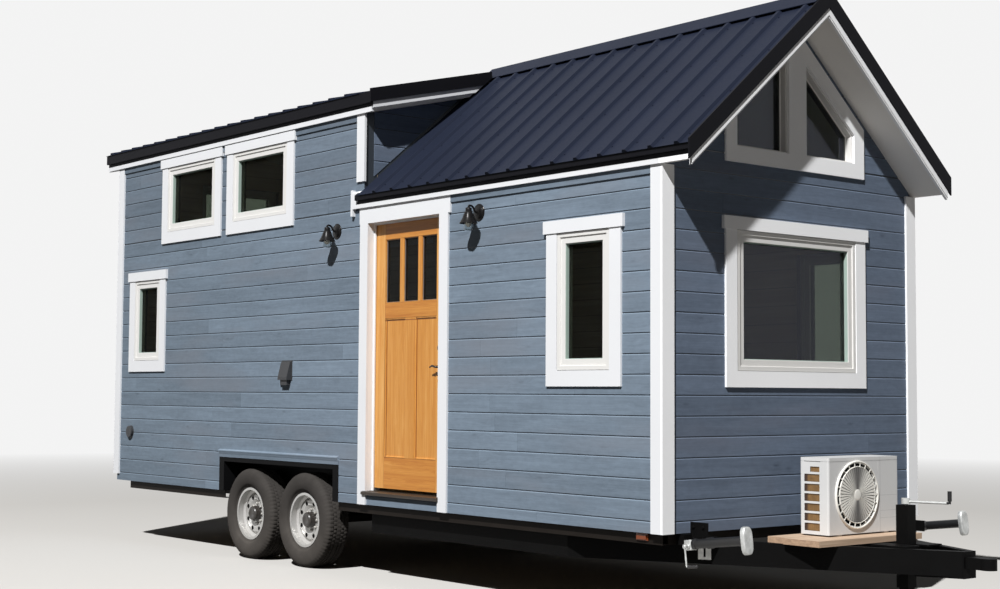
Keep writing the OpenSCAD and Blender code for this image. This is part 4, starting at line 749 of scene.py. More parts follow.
def plank_finish():
    f = Finish("plank_fir")
    x, y, z = f.axes()
    end = (y - x.below(-0.51) * 0.03).below(-0.5675)
    grain = f.noise(f.vector(x * 38.0, y * 1.1, z * 45.0), 1.0, 5.0, 0.65, 0.4)
    rings = f.noise(f.vector(x * 22.0, y * 0.2, (z - 0.3) * 60.0), 1.0, 4.0, 0.6, 1.2)
    pale = f.ramp(grain, [(0.25, (0.34, 0.23, 0.155)), (0.5, (0.48, 0.345, 0.24)), (0.8, (0.6, 0.46, 0.335))])
    dark = f.ramp(rings, [(0.3, (0.29, 0.185, 0.12)), (0.7, (0.49, 0.33, 0.215))])
    f.set(Base_Color=f.mix(end, pale, dark), Roughness=0.75)
    f.bump(grain, 0.001, 0.5)
    return f


jack_metal = jack_finish()
assign("corner_jack_left corner_jack_right", jack_metal)
assign("trailer_fittings", marker_finish())
assign("unit_planks", plank_finish())
print("jacks, markers and planks have their looks")

# %% [markdown]
# ## Glass
#
# The side windows look dark, because the room behind is dim and nothing bright is
# mirrored in them. On the panes that face forwards the shader mixes in a bluish mirror,
# a painted reflection of the open sky. Both see through to the room.

# %% Glass
def glass(name, tint, ior, painted_reflection):
    """Tinted clear glass; the last argument is how much bluish mirror, a painted reflection of the sky, the front
    panes get.
    """
    f = Finish(name)
    f.set(Base_Color=tint, Transmission_Weight=1.0, Roughness=0.015, IOR=ior)
    x, y, z = f.axes()
    # a bluish mirror on the front panes only: a painted reflection of the sky
    painted_sky_mirror = f.add("ShaderNodeBsdfAnisotropic", Color=(0.78, 0.8, 1.0), Roughness=0.03)
    dust = f.add("ShaderNodeBsdfDiffuse", Color=(0.8, 0.8, 0.72))
    both = f.blend(x.above(FRONT_X - 0.1) * painted_reflection, f.shader, painted_sky_mirror)
    f.end_in(f.blend(f.noise(f.coords, 3.0, 3.0, 0.6) * 0.012, both, dust))
    return f


pane_glass = glass("pane_glass", (0.23, 0.26, 0.22), 1.03, 0.03)
print("glass made", pane_glass.material.name)

# %% [markdown]
# ## Siding boards
#
# Each wall is clad with tongue-and-groove boards, 130 mm to the course, with an open
# groove between courses. A board is a short profile with two eased edges, carried along
# the wall. A course is cut where a window, the doorway or the wheel opening is, and the
# long courses have a butt joint or two, each board with its own tone.

# %% Siding boards
TUCK = 0.001         # how far a board's back lies inside the wall
BUTT = 0.0008        # half the gap where two boards of a course meet
SHORTEST = 0.012     # a narrower gap between two holes gets no board
LEAST_END = 0.25     # a butt joint keeps at least this far from a board's end


def strip(profile, start, end):
    """A closed bar: a profile of (out, z) points carried from u = start(z) to u = end(z)."""
    out, z = np.array(profile).T
    last = np.maximum(end(z), start(z) + 0.0005)
    return prism(*[np.stack([u, out, z], 1) for u in (start(z), last)])


def level(value):
    """A straight upright edge at one distance along the wall."""
    return lambda z: np.full_like(np.asarray(z, float), value)


def clad(name, to_world, finish, z0, z1, low, high, breaks=(), holes=()):
    """Boards from z0 to z1 between low(z) and high(z), cut round holes (z0, z1, low, high)."""
    parts = Parts()
    edges = sorted({z0, z1, *breaks, *[v for h in holes for v in h[:2]]})
    first_row = int(math.floor((z0 - FIRST_LINE) / COURSE))
    for row in range(first_row, int(math.ceil((z1 - FIRST_LINE) / COURSE))):
        bottom, top = FIRST_LINE + row * COURSE, FIRST_LINE + (row + 1) * COURSE
        a, b = max(bottom, z0), min(top, z1)
        cuts = [a] + [v for v in edges if a + 0.004 < v < b - 0.004] + [b]
        joints = np.cumsum(rng.uniform(2.3, 4.6, 6)) - 2.0 + low(np.array([a]))[0]
        tones = rng.uniform(0.0, 1.0, 8)
        for c0, c1 in zip(cuts[:-1], cuts[1:]):
            middle = np.array([(c0 + c1) / 2])
            spans = [(low, high)]
            for hole in holes:
                if not hole[0] < middle[0] < hole[1]:
                    continue
                kept = []
                for s, t in spans:
                    if hole[3](middle)[0] <= s(middle)[0] or hole[2](middle)[0] >= t(middle)[0]:
                        kept.append((s, t))
                    else:
                        kept += [(s, hole[2]), (hole[3], t)]
                spans = [(s, t) for s, t in kept if t(middle)[0] - s(middle)[0] > SHORTEST]
            bot_cut, top_cut = abs(c0 - bottom) < 1e-6, abs(c1 - top) < 1e-6
            zb = c0 + (GROOVE / 2 if bot_cut else 0.0)
            zt = c1 - (GROOVE / 2 if top_cut else 0.0)
            if zt - zb < EASE + EASE_TOP + 0.001:
                continue
            profile = [(-TUCK, zb)]
            profile += [(BOARD_OUT - EASE, zb), (BOARD_OUT, zb + EASE)] if bot_cut else [(BOARD_OUT, zb)]
            profile += [(BOARD_OUT, zt - EASE_TOP), (0.0005, zt)] if top_cut else [(BOARD_OUT, zt)]
            profile += [(-TUCK, zt)]
            for s, t in spans:
                inner = [j for j in joints if s(middle)[0] + LEAST_END < j < t(middle)[0] - LEAST_END]
                starts = [s] + [level(j + BUTT) for j in inner]
                ends = [level(j - BUTT) for j in inner] + [t]
                for s2, t2 in zip(starts, ends):
                    number = int(np.searchsorted(joints, (s2(middle)[0] + t2(middle)[0]) / 2))
                    parts.add(*strip(profile, s2, t2), tones[number])
    parts.points = [to_world(*np.concatenate(parts.points).T)]
    parts.build(name, finish)


def window_hole(middle, width, sill, height, under=0.05):
    """The hole for a window; it reaches this far under the casing round the opening."""
    half = width / 2 + under
    return (sill - under, sill + height + under, level(middle - half), level(middle + half))


# a window is (middle, width, sill, height): middle from the front wall's face, sill from the siding's lower edge
rear_windows = [(-6.828, 0.508, 1.148, 0.762), (-6.009, 0.89, 2.342, 0.605), (-4.807, 0.89, 2.342, 0.605)]
side_window = (-0.712, 0.508, 1.012, 0.914)
front_window = (0.0, 1.219, 1.012, 0.914)
rear_loft_window = (0.0, 0.89, 2.342, 0.605)
wheel_hole = (-0.1, 0.255, level(-5.345), level(-3.631))
door_hole = (0.075, 2.2, level(DOOR_X - 0.51), level(DOOR_X + 0.51))


def long_wall(side):
    """Where a long wall's (along, outwards, up) lie in the frame; side is -1 or 1."""
    return lambda u, out, z: np.stack([u + FRONT_X, side * (HALF_W + out), z + BASE_Z], 1)


def end_wall(face_x, outwards, side=1.0):
    """The same for a wall across the house whose face is at face_x."""
    return lambda u, out, z: np.stack([face_x + outwards * out, side * u, z + BASE_Z], 1)


door_side, far_side = long_wall(-1.0), long_wall(1.0)
front_end, rear_end = end_wall(FRONT_X, 1.0), end_wall(FRONT_X - BODY_LEN, -1.0)
for side, place in (("door_side", door_side), ("far_side", far_side)):
    holes = [window_hole(*w) for w in rear_windows] + [wheel_hole]
    clad(f"siding_{side}_rear", place, siding_x, 0.0, 3.035, level(-BODY_LEN + 0.03), level(-GABLE_LEN), (), holes)
    holes = [window_hole(*side_window), wheel_hole] + ([door_hole] if side == "door_side" else [])
    clad(f"siding_{side}_front", place, siding_x, 0.0, 2.286, level(-GABLE_LEN), level(-0.03), (), holes)


HALF_END, HALF_LITES, HALF_CHEEK = 1.24, 0.655, 1.19   # half widths of boards, lites and cheeks across the house
GABLE_TOP, LITES_TOP, DORMER_TOP, CHEEK_TOP = 3.370, 3.2486, 3.344, 3.560   # where slopes meet the middle


def under_slope(top, slope, most, least=-math.inf):
    """Half the width that is free under a pair of slopes, at each height."""
    return lambda z: np.maximum(np.minimum(most, (top - z) / slope), least)


def both_sides(half):
    return lambda z: -half(z), half


gable_half = under_slope(GABLE_TOP, GABLE_SLOPE, HALF_END)
lite_half = under_slope(LITES_TOP, GABLE_SLOPE, HALF_LITES, 0.0)
clad("siding_front", front_end, siding_y_shaded, 0.0, 3.365, *both_sides(gable_half),
     (GABLE_TOP - GABLE_SLOPE * HALF_END, LITES_TOP - GABLE_SLOPE * HALF_LITES),
     [window_hole(*front_window), (2.422, LITES_TOP, *both_sides(lite_half))])
clad("siding_rear", rear_end, siding_y_shaded, 0.06, 3.34, *both_sides(under_slope(DORMER_TOP, DORMER_SLOPE, HALF_END)),
     (DORMER_TOP - DORMER_SLOPE * HALF_END,), [window_hole(*rear_loft_window)])
for side, sign in (("left", -1), ("right", 1)):
    clad(f"siding_cheek_{side}", end_wall(SPLIT_X, 1.0, sign), siding_y_shaded, 2.55, 3.25,
         under_slope(CHEEK_TOP, GABLE_SLOPE, math.inf), under_slope(DORMER_TOP, DORMER_SLOPE, HALF_CHEEK),
         (DORMER_TOP - DORMER_SLOPE * HALF_CHEEK,))

# %% [markdown]
# ## The wall behind the boards
#
# The imported walls show in two places: at the bottom of each groove, where they are
# painted near black as painted shade, and inside the rooms, where they are pale pine
# boards. The shader tells the two apart by how far the surface is from the middle of the house.

# %% Walls behind the boards
def wall_core(name, front):
    """Painted shade outside and pine inside; front is where the outside begins along X."""
    f = Finish(name)
    x, y, z = f.axes()
    thick = 0.118
    inside = y.abs().below(HALF_W - thick) * x.below(front - thick) * x.above(FRONT_X - BODY_LEN + thick)
    grain = f.noise(f.scaled(1.2, 1.2, 28.0), 1.0, 4.0, 0.6)
    line = (z / 0.14).fract().below(0.03)
    pine = f.ramp(grain, [(0.3, (0.52, 0.36, 0.2)), (0.7, (0.7, 0.53, 0.33))])
    pine = f.mix(line, pine, (0.22, 0.14, 0.07))
    # outside, the wall is near black: painted shade at the bottom of the siding's grooves
    f.set(Base_Color=f.mix(inside, (0.02, 0.026, 0.034), pine), Roughness=0.6)
    f.bump(grain, 0.0008, 0.4)
    return f


assign("door_wall_rear door_wall_front door_wall_header far_wall_rear far_wall_front front_wall rear_wall floor",
       wall_core("wall_core", FRONT_X))
assign("dormer_cheeks", wall_core("cheek_core", SPLIT_X))
print("walls have their two sides")

# %% [markdown]
# ## The fir door
#
# The leaf is oiled fir: two stiles, three rails, a post between two panels and a row of
# three lites over them, each a board with eased edges. The shader works out from the
# place which member a point is on. Stiles and panels have upright grain, rails have
# level grain, and each member takes its own piece of the noise. Mouldings hold the glass
# and the panels, and thin dark lines mark the joints. Painted shade lies along the top
# and the left edge of each panel and in the gap round the leaf's edges.

# %% Fir finish
HALF_LEAF = 0.45
STILE = 0.326             # from the leaf's middle to the inner edge of a stile
POST = 0.060              # half the post between the panels
RAILS = (0.236, 1.297, 1.416, 1.905)   # edges of the bottom, lock and top rails
LITE_W, MUNTIN = 0.19, 0.041


def fir_finish():
    f = Finish("door_fir")
    x, y, z = f.axes()
    u, v = x - (FRONT_X + DOOR_X), z - (BASE_Z + LEAF_Z)
    low, lock_low, lock_top, top = RAILS
    inner = u.abs().below(STILE)
    panel_row = v.above(low) * v.below(lock_low)
    rail = inner * (1.0 - panel_row) * (1.0 - v.above(lock_top) * v.below(top))
    panel = inner * panel_row * u.abs().above(POST)
    across, along = u + (v - u) * rail, v + (u - v) * rail
    member = u.above(0.0) * 2.3 * (1.0 - rail) + rail * ((v * 2.1).floor() * 3.1 + 5.7) + panel * 4.9
    grain = f.noise(f.vector(across * 30.0, along * 1.0, member), 1.0, 4.0, 0.6, 0.7)
    fine = f.noise(f.vector(across * 240.0, along * 5.0, member), 1.0, 3.0, 0.55)
    ring = ((across * 70.0 + grain * 7.0 + member).fract() - 0.5).abs() * 2.0
    level = 0.5 + (grain - 0.5) * 0.85 + (ring - 0.5) * 0.2 + (fine - 0.5) * 0.35
    level = level + (1.0 - inner) * 0.16 - rail * 0.17
    colour = f.ramp(level.clamp(), [(0.1, (0.42, 0.145, 0.023)), (0.5, (0.56, 0.243, 0.048)),
                                    (0.9, (0.7, 0.388, 0.128))])
    joints = (u.abs() - STILE).abs().below(0.0011)
    for edge in RAILS:
        joints = joints + (v - edge).abs().below(0.0011) * inner
    colour = f.mix((joints * 0.75).clamp(), colour, (0.16, 0.045, 0.01))
    # painted shade along the top and the left edge of each panel, under the rail and beside the stile
    panel_shade = (v - (lock_low - 0.0165)).abs().below(0.004) * inner
    for left in (-STILE, POST):
        panel_shade = panel_shade + (u - (left + 0.0165)).abs().below(0.004) * panel_row
    colour = f.mix((panel_shade * 0.75).clamp(), colour, (0.17, 0.048, 0.01))
    # painted shade in the gap round the leaf's sides and top
    leaf_gap_shade = (u.abs() - 0.4475).above(0.0).math("MAXIMUM", v.above(2.0275))
    colour = f.mix(leaf_gap_shade * 0.8, colour, (0.05, 0.018, 0.008))
    f.set(Base_Color=colour, Roughness=0.42 + (fine - 0.5) * 0.25, Coat_Weight=0.06, Specular_IOR_Level=0.3)
    f.bump(grain * 0.3 + fine * 0.7, 0.0006, 0.5)
    return f


fir = fir_finish()
print("fir made with", len(fir.tree.nodes), "nodes")

# %% Members, panels and mouldings of the door
def box_outline(u0, u1, z0, z1):
    return [(u0, z0), (u1, z0), (u1, z1), (u0, z1)]


def member(u0, u1, v0, v1, deeper=0.0, ease=0.0012):
    """A board of the leaf between u0 and u1 from its middle and v0 and v1 above its lower edge."""
    low_corner = at(DOOR_X + u0, FACE + deeper, LEAF_Z + v0)
    high_corner = at(DOOR_X + u1, BACK - deeper, LEAF_Z + v1)
    return slab(*np.stack([low_corner, high_corner], 1).reshape(-1), ease)


STOP_IN = 0.4        # millimetres between a moulding and the edge that it lies against
LEAF_MIDDLE = 0.084  # depth of the leaf's middle plane behind the siding
lite_stop = mm(STOP_IN, -64, 1.8, -63.3, 3.6, -65, 4, -69, 4.2, -73, STOP_IN, -73)
lite_spacer = mm(STOP_IN, -73.2, 6, -73.2, 7.5, -74.5, 8, -80.6, STOP_IN, -80.6)
panel_stop = mm(2, -64, 4.5, -63.2, 8.5, -64.5, 12, -67, 13.5, -70, 14, -71.7, 2, -71.7)
low, lock_low, lock_top, top = RAILS
lite_edges = [-STILE + k * (LITE_W + MUNTIN) for k in range(3)]
leaf, stops, spacers, lites = Parts(), Parts(), Parts(), Parts()
for box in ((-HALF_LEAF, -STILE, 0.0, LEAF_H), (STILE, HALF_LEAF, 0.0, LEAF_H), (-STILE, STILE, 0.0, low),
            (-STILE, STILE, lock_low, lock_top), (-STILE, STILE, top, LEAF_H), (-POST, POST, low, lock_low),
            *[(left - MUNTIN, left, lock_top, top) for left in lite_edges[1:]]):
    leaf.add(*member(*box))
for sign in (-1.0, 1.0):
    u0, u1 = sorted((sign * (POST - 0.004), sign * (STILE + 0.004)))
    leaf.add(*member(u0, u1, low - 0.004, lock_low + 0.004, 0.0095))
for left in lite_edges:
    lites.add(*member(left - 0.002, left + LITE_W + 0.002, lock_top - 0.002, top + 0.002, 0.0191, 0.0005))
frames_of_stops = [(lite_stop, stops, left, left + LITE_W, lock_top, top) for left in lite_edges]
frames_of_stops += [(lite_spacer, spacers, left, left + LITE_W, lock_top, top) for left in lite_edges]
frames_of_stops += [(panel_stop, stops, *sorted((s_ * POST, s_ * STILE)), low, lock_low) for s_ in (-1, 1)]
for rows, parts, u0, u1, v0, v1 in frames_of_stops:
    for mirrored in (False, True):
        section = [(i, -2 * LEAF_MIDDLE - o if mirrored else o) for i, o in rows]
        outline = box_outline(DOOR_X + u0, DOOR_X + u1, LEAF_Z + v0, LEAF_Z + v1)
        parts.fix(moulding(outline, section), door_side)
leaf_piece = leaf.build("fir_leaf", fir, "entry_door")
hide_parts("door_leaf")
stops.build("door_mouldings", fir, "entry_door")
spacers.build("door_spacers", spacer_brown, "entry_door")
lite_piece = lites.build("door_lites", glass("door_glass", (0.15, 0.16, 0.17), 1.12, 0.0), "entry_door")
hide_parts("door_glass")
print("door members and mouldings", leaf.count + stops.count, "points")

# %% Lever, bolt and key rose
LEVER_UP = 0.920     # the lever's height over the leaf's lower edge


def furniture(side, face, parts):
    """Round roses, a curved lever and a bolt on one face of the leaf; side is -1 outside and 1 inside."""
    axis = "-y" if side < 0 else "y"
    u = DOOR_X + 0.383
    rose = lathe(mm(0, 0.2, 26.5, 0.2, 26.5, 6, 24.5, 8.5, 0, 9.5), 40)
    bolt_rose = lathe(mm(0, 0.2, 28, 0.2, 28, 10, 25.5, 15, 17, 16.5, 15, 14.5, 0, 14.5), 40)
    key_rose = lathe(mm(0, 0.2, 13, 0.2, 13, 4, 11, 5.5, 0, 5.8), 28)
    for shape, up in ((rose, LEVER_UP), (bolt_rose, 1.06), (key_rose, 0.845)):
        parts.lay(shape, axis, at(u, face, LEAF_Z + up))
    path = rounded(mm(0, 6, 0, 0, 40, 0, -16, 46, 1, -40, 45, 7, -62, 42, 6, -84, 39, -3, width=3))
    thick = np.interp(np.linspace(0.0, 1.0, len(path)), (0.0, 0.4, 0.75, 1.0), (0.0095, 0.009, 0.008, 0.0055))
    bar, faces = rod(path, thick, 14)
    parts.add(bar * (1.0, side, 1.0) + at(u, face, LEAF_Z + LEVER_UP), faces)


handles = Parts()
furniture(-1, FACE, handles)
furniture(1, BACK, handles)
knuckle = lathe(mm(0, 0, 6.2, 0, 7, 1, 7, 21, 6.2, 22, 0, 22), 24)
pin = lathe(mm(0, 0, 3, 0, 3, 89.5, 0, 90), 16)
hinge_y = BACK + 0.008
for up in HINGES:
    x, _, z = at(DOOR_X - HALF_LEAF + 0.005, 0.0, LEAF_Z + up)
    handles.add(pin[0] + (x, hinge_y, z), pin[1])
    for rise in (0.0, 0.068):
        handles.add(knuckle[0] + (x, hinge_y, z + rise), knuckle[1])
        handles.add(*slab(x + 0.003, x + 0.026, BACK + 0.0002, hinge_y, z + rise, z + rise + 0.022, 0.0006))
handle_piece = handles.build("door_furniture", bronze, "entry_door", 35)
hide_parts("door_hardware")
print("door furniture", handles.count, "points")

# %% [markdown]
# ## Windows
#
# A window is a vinyl frame that stands nearly flush with the casing, a sash set 8 mm
# back, a deep bead and a thin black gasket against the glass. Seen from the front corner,
# the bead on the far side of each opening is a pale green stripe beside the dark pane.
# The two gable lites have no sash: their glass lies deep behind the casing. Every ring is
# a mitred moulding, so the frames stand for the plain packed ones and keep their places.

# %% Window frames, beads and panes
SASH = 0.075         # from the opening's edge to the glass
frame_rows = mm(0.3, -69.5, 0.3, -0.8, 3, -0.8, 3, 15.2, 3.8, 16, 30, 16, 31.8, 14.2, 32, 8, 34.5, 7.2,
                35.5, 7.9, 72.5, 7.9, 74.6, 6, 74.9, -58, 32, -60, 32, -69.5)
lite_rows = mm(0.3, -69.5, 0.3, -0.8, 1.2, -0.1, 10, -0.1, 11.8, -1.6, 12, -44, 20, -47, 20.5, -49.4,
               12, -49.4, 12, -69.5)
gasket_rows = mm(5, -22.6, 7, -22.8, 7.4, -26.7, 5, -26.7)
bead_rows = mm(STOP_IN, 3, 1.4, 3, 3, 1, 4.6, -24, 4.8, -26.7, STOP_IN, -26.7)
lite_gasket = mm(21.2, -47.6, 23.5, -48.2, 23.8, -49.4, 21.2, -49.4)


def window_box(middle, width, sill, height, inset=0.0):
    return box_outline(middle - width / 2 + inset, middle + width / 2 - inset, sill + inset, sill + height - inset)


def lite_outline(sign, inset):
    """The gable lite on one side of the post: three square edges and one along the roof's slope."""
    y0, y1, z0 = 0.09 + inset, 0.605 - inset, 2.472 + inset
    crown = 3.183 - inset / math.cos(math.atan(GABLE_SLOPE))
    corners = ((y0, z0), (y1, z0), (y1, crown - GABLE_SLOPE * y1), (y0, crown - GABLE_SLOPE * y0))
    return [(sign * y, z) for y, z in corners]


def pane(outline, front, back):
    """A flat pane: the outline at two depths."""
    return prism(*[np.insert(np.array(outline), 1, depth, 1) for depth in (front, back)])


frames, beads, gaskets, panes = Parts(), Parts(), Parts(), Parts()
boxes = [(place, w) for place in (door_side, far_side) for w in (*rear_windows, side_window)]
boxes += [(front_end, front_window), (rear_end, rear_loft_window)]
for place, w in boxes:
    for parts, rows, inset in ((frames, frame_rows, 0.0), (beads, bead_rows, SASH), (gaskets, gasket_rows, SASH)):
        parts.fix(moulding(window_box(*w, inset), rows), place)
    panes.fix(pane(window_box(*w, SASH), -0.027, -0.045), place)
for sign in (-1.0, 1.0):
    for parts, rows in ((frames, lite_rows), (gaskets, lite_gasket)):
        parts.fix(moulding(lite_outline(sign, 0.0), rows), front_end)
    panes.fix(pane(lite_outline(sign, 0.0122), -0.0496, -0.0676), front_end)
frame_piece = frames.build("window_rings", frame_white)
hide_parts("window_frames")
pane_piece = panes.build("window_panes", pane_glass)
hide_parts("window_glass")
beads.build("window_beads", bead_sage)
gaskets.build("window_gaskets", gasket_black)
print(len(boxes) + 2, "windows")

# %% [markdown]
# ## Boards and bands at the edges
#
# The board over each wheel opening has a sloping nose that catches the sun, and its
# lighter stain is a painted highlight. Black strips of painted shade run along the eaves,
# where the flashing's shadow falls on the fascia, and white faces lie on the front rakes.
# Thin covers hide the dormer deck where its metal sheets end short of the front.

# %% Drip boards over the wheels
nose = mm(-1, 316, 12.2, 316, 23.6, 342, 23.6, 348.2, 5, 358.4, -1, 358.4)
drips = Parts()
for place in (door_side, far_side):
    drips.fix(strip(nose, level(-5.4225), level(-3.5535)), place, 0.5)
# the nose's lighter stain is a painted highlight
drips.build("well_drips", drip_nose_highlight)
print("drip boards", drips.count, "points")

# %% Bands, rake faces and covers at the roof's edges
BAND_IN, BAND_OUT = 1.3098, 1.3116   # faces of the black bands, from the centre line
RAKE_END, RAKE_LOW, RAKE_HIGH = 1.3095, 0.012, 0.059   # the white faces' end, and their edges over the rake's line
COVER_IN, COVER_END, COVER = 0.1325, 1.333, 0.003      # the covers' ends from the centre line, and their thickness
# heights over the siding's lower edge: the rake's outer end, and the dormer deck's lower edge and top by the ridge
RAKE_FOOT, DORMER_EDGE, DORMER_CROWN = 2.253, 3.444, 3.4751
shade_strips, rakes, covers = Parts(), Parts(), Parts()
for sign in (-1.0, 1.0):
    y0, y1 = sorted((sign * BAND_IN, sign * BAND_OUT))
    # black strips on the fascia under the flashing: painted shade where the flashing's shadow falls
    shade_strips.add(*slab(-4.154, -0.5756, y0, y1, 2.8835, 2.9106, 0.0005))
    shade_strips.add(*slab(-8.5244, -3.9512, y0, y1, 3.634, 3.6611, 0.0005))
    crown = RAKE_FOOT + GABLE_SLOPE * RAKE_END
    outline = [(sign * RAKE_END, RAKE_FOOT + RAKE_LOW), (0.0, crown + RAKE_LOW), (0.0, crown + RAKE_HIGH),
               (sign * RAKE_END, RAKE_FOOT + RAKE_HIGH)]
    rakes.fix(pane(outline, 0.2903, 0.2849), front_end)
    foot, lip = DORMER_CROWN - DORMER_SLOPE * (COVER_END - 0.136), COVER_IN + 0.0024
    outline = [(COVER_IN, DORMER_EDGE), (lip, DORMER_EDGE), (lip, DORMER_CROWN), (COVER_END, foot),
               (COVER_END, foot + COVER), (COVER_IN, DORMER_CROWN + COVER)]
    covers.fix(pane([(sign * y, z) for y, z in outline], -3.0901, -3.2449), front_end)
shade_strips.build("eave_shade_strips", flashing_paint)
rakes.build("rake_faces", white_paint)
covers.build("dormer_edge_covers", roof_paint)
print("bands, faces and covers", shade_strips.count + rakes.count + covers.count, "points")

# %% [markdown]
# ## Tyres
#
# A tyre is a turned form whose tread is cut. The grid's rows follow the section from
# bead to bead and back through the bore, and its columns go round. Four grooves run
# round the tread, and every fourth column of the ribs is sunk, staggered from rib to
# rib. The dusty finish is thickest low down.

# %% Tyres with tread
WHEEL_X = {"front": AXLES_X + HALF_AXLES, "rear": AXLES_X - HALF_AXLES}
COLUMNS = 288        # 72 pitches of four columns
wheels = [(end, side, sign) for end in ("front", "rear") for side, sign in (("left", -1.0), ("right", 1.0))]


def tyre_section():
    """(radius, across, rib number) from the outer bead over the tread to the inner bead and back."""
    turn = np.radians(np.linspace(172.0, 24.0, 22))
    r, s_ = 0.304 + 0.066 * np.cos(turn), 0.0875 + 0.03 * np.sin(turn)
    s_ = s_ + 0.0016 * np.exp(-((r - 0.254) / 0.003) ** 2) - 0.0012 * np.exp(-((r - 0.342) / 0.003) ** 2)
    side = [(0.2066, 0.0795, 0), (0.2225, 0.0795, 0), (0.229, 0.088, 0),
            *zip(r, np.minimum(s_, 0.1175), np.zeros(22))]
    side[-3:] = [(a, b, 3) for a, b, _ in side[-3:]]
    side += [(0.3725, 0.093, 3), (0.3782, 0.086, 3)]
    tread = []
    edges = [(0.076, 0.054, 3), (0.0462, 0.024, 2), (0.0162, -0.0162, 1)]
    for start, end, rib in edges:
        tread += [(0.3805, start, rib), (0.3805, (start + end) / 2, rib), (0.3805, end, rib)]
        if rib > 1:
            tread += [(0.3735, end - 0.001, 0), (0.3735, end - 0.0068, 0)]
    half = side + tread
    mirrored = [(r, -s_, rib) for r, s_, rib in half if s_ > 0.0][::-1]
    rows = np.array(half[:-1] + [(0.3805, -0.0162, 1)] + mirrored[1:])
    flat_top = rows[:, 0] > 0.38
    rows[flat_top, 0] = 0.3816 - 0.001 * (rows[flat_top, 1] / 0.076) ** 2
    return rows


section = tyre_section()
column = np.arange(COLUMNS)
sunk = np.zeros((len(section), COLUMNS))
for rib, phase, depth in ((3, 3, 0.0034), (2, 1, 0.004), (1, 3, 0.0026)):
    sunk += depth * np.outer(section[:, 2] == rib, column % 4 == phase)
tyre_r = section[:, 0][:, None] - sunk
tyre_turn = column * (2 * math.pi / COLUMNS)
tyre_points = np.stack([tyre_r * np.cos(tyre_turn), tyre_r * np.sin(tyre_turn),
                        np.repeat(section[:, 1][:, None], COLUMNS, 1)], -1).reshape(-1, 3)
tyre_faces = quads(len(section), COLUMNS, True, True)
for end, side, sign in wheels:
    place = (WHEEL_X[end], sign * HUB_Y, HUB_Z)
    points = turned(tyre_points, "-y" if sign < 0 else "y", place)
    tyre = make_object(f"treaded_tyre_{end}_{side}", points, tyre_faces, tyre_rubber.material,
                       f"wheel_{end}_{side}", 40)
    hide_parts(f"tyre_{end}_{side}")
print("tyre faces", len(tyre_faces))

# %% Nuts, hub caps and valves
hex_nut = lathe(mm(0, 12.2, 11.8, 12.2, 11.8, 26.2, 9.2, 29.8, 0, 31), 6)
washer = lathe(mm(0, 12.1, 15, 12.1, 15, 13.6, 0, 13.6), 20)
cap = lathe(mm(0, 70.8, 50.3, 70.8, 59, 58.5, 62.5, 12.6, 65.2, 12.6, 64.8, 20, 62.2, 56, 59, 65.5, 53, 72.2,
               38, 74, 36, 72.8, 0, 73.5), 56)
valve = rod(mm(168, 0, 4, 168, 0, 30, 168, 0, 31, 168, 0, 44, width=3), [0.0055, 0.005, 0.0036, 0.0036], 12)
NUT_CIRCLE = 0.0825  # from the axle to the middle of a nut
for end, side, sign in wheels:
    place, axis = (WHEEL_X[end], sign * HUB_Y, HUB_Z), "-y" if sign < 0 else "y"
    wheel, nuts = f"wheel_{end}_{side}", Parts()
    for turn in np.arange(8) * math.pi / 4:
        out = (NUT_CIRCLE * math.cos(turn), NUT_CIRCLE * math.sin(turn), 0.0)
        for points, faces in (hex_nut, washer):
            nuts.lay((points + out, faces), axis, place)
    nuts.build(f"wheel_nuts_{end}_{side}", nut_steel, wheel, 30)
    Parts().lay(cap, axis, place).build(f"hub_cap_{end}_{side}", cap_black, wheel, 35)
    Parts().lay(valve, axis, place).build(f"valve_{end}_{side}", cap_black, wheel, 35)
print("wheels dressed:", len(wheels))

# %% [markdown]
# ## Wall lights
#
# Two small barn lights flank the door: a turned wall plate, a bent arm, a bell shade
# and a clear jar with a frosted bulb. They are turned and swept forms, and they stand
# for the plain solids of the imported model.

# %% Wall lights
LIGHT_Z, LIGHT_OFF, LIGHT_OUT = 2.137, 0.902, 0.1   # height, from the doorway's middle, and shade from the wall
wall_plate = lathe(mm(0, 0.4, 63, 0.4, 63, 7, 60.5, 9.5, 50, 11, 46, 15, 30, 18.5, 17, 21, 14, 27, 0, 28), 56)
bell = lathe(mm(0, 32, 10, 32, 14, 29, 20, 26, 23, 21, 23, 2, 26, 0, 31, -10, 36, -22, 43, -41, 50, -56,
                58, -70, 63.5, -79, 65.5, -82.5, 65, -84.2, 63.2, -84.2, 62, -81, 56, -70, 48, -56, 41, -41,
                34.5, -22, 29, -10, 20, -4, 0, -4), 56)
jar = lathe(mm(20, -8, 29, -13, 33, -26, 33, -118, 30.5, -128, 21, -134.5, 0, -135, 0, -132.5, 20, -132,
               28.2, -126.2, 30.5, -117, 30.5, -27, 27, -16, 18, -11), 48, True)
bulb = lathe(mm(0, -6, 12, -6, 12, -34, 14, -46, 21, -64, 24, -80, 21, -96, 12, -107, 0, -110), 32)
arm_path = mm(16, 0, 36, 0, 48, 12, 58, 34, 80, 46, 100, 42, 100, 24)
clear = Finish("jar_glass")
clear.set(Base_Color=(0.8, 0.82, 0.81), Transmission_Weight=1.0, Roughness=0.02, IOR=1.12)
clear.bump(clear.noise(clear.coords, 70.0, 2.0, 0.5), 0.0006, 0.25)
frosted = coated("bulb_frosted", (0.26, 0.25, 0.23), 0.5, uneven=0.02, size=30.0)
metal, jars, bulbs = Parts(), Parts(), Parts()
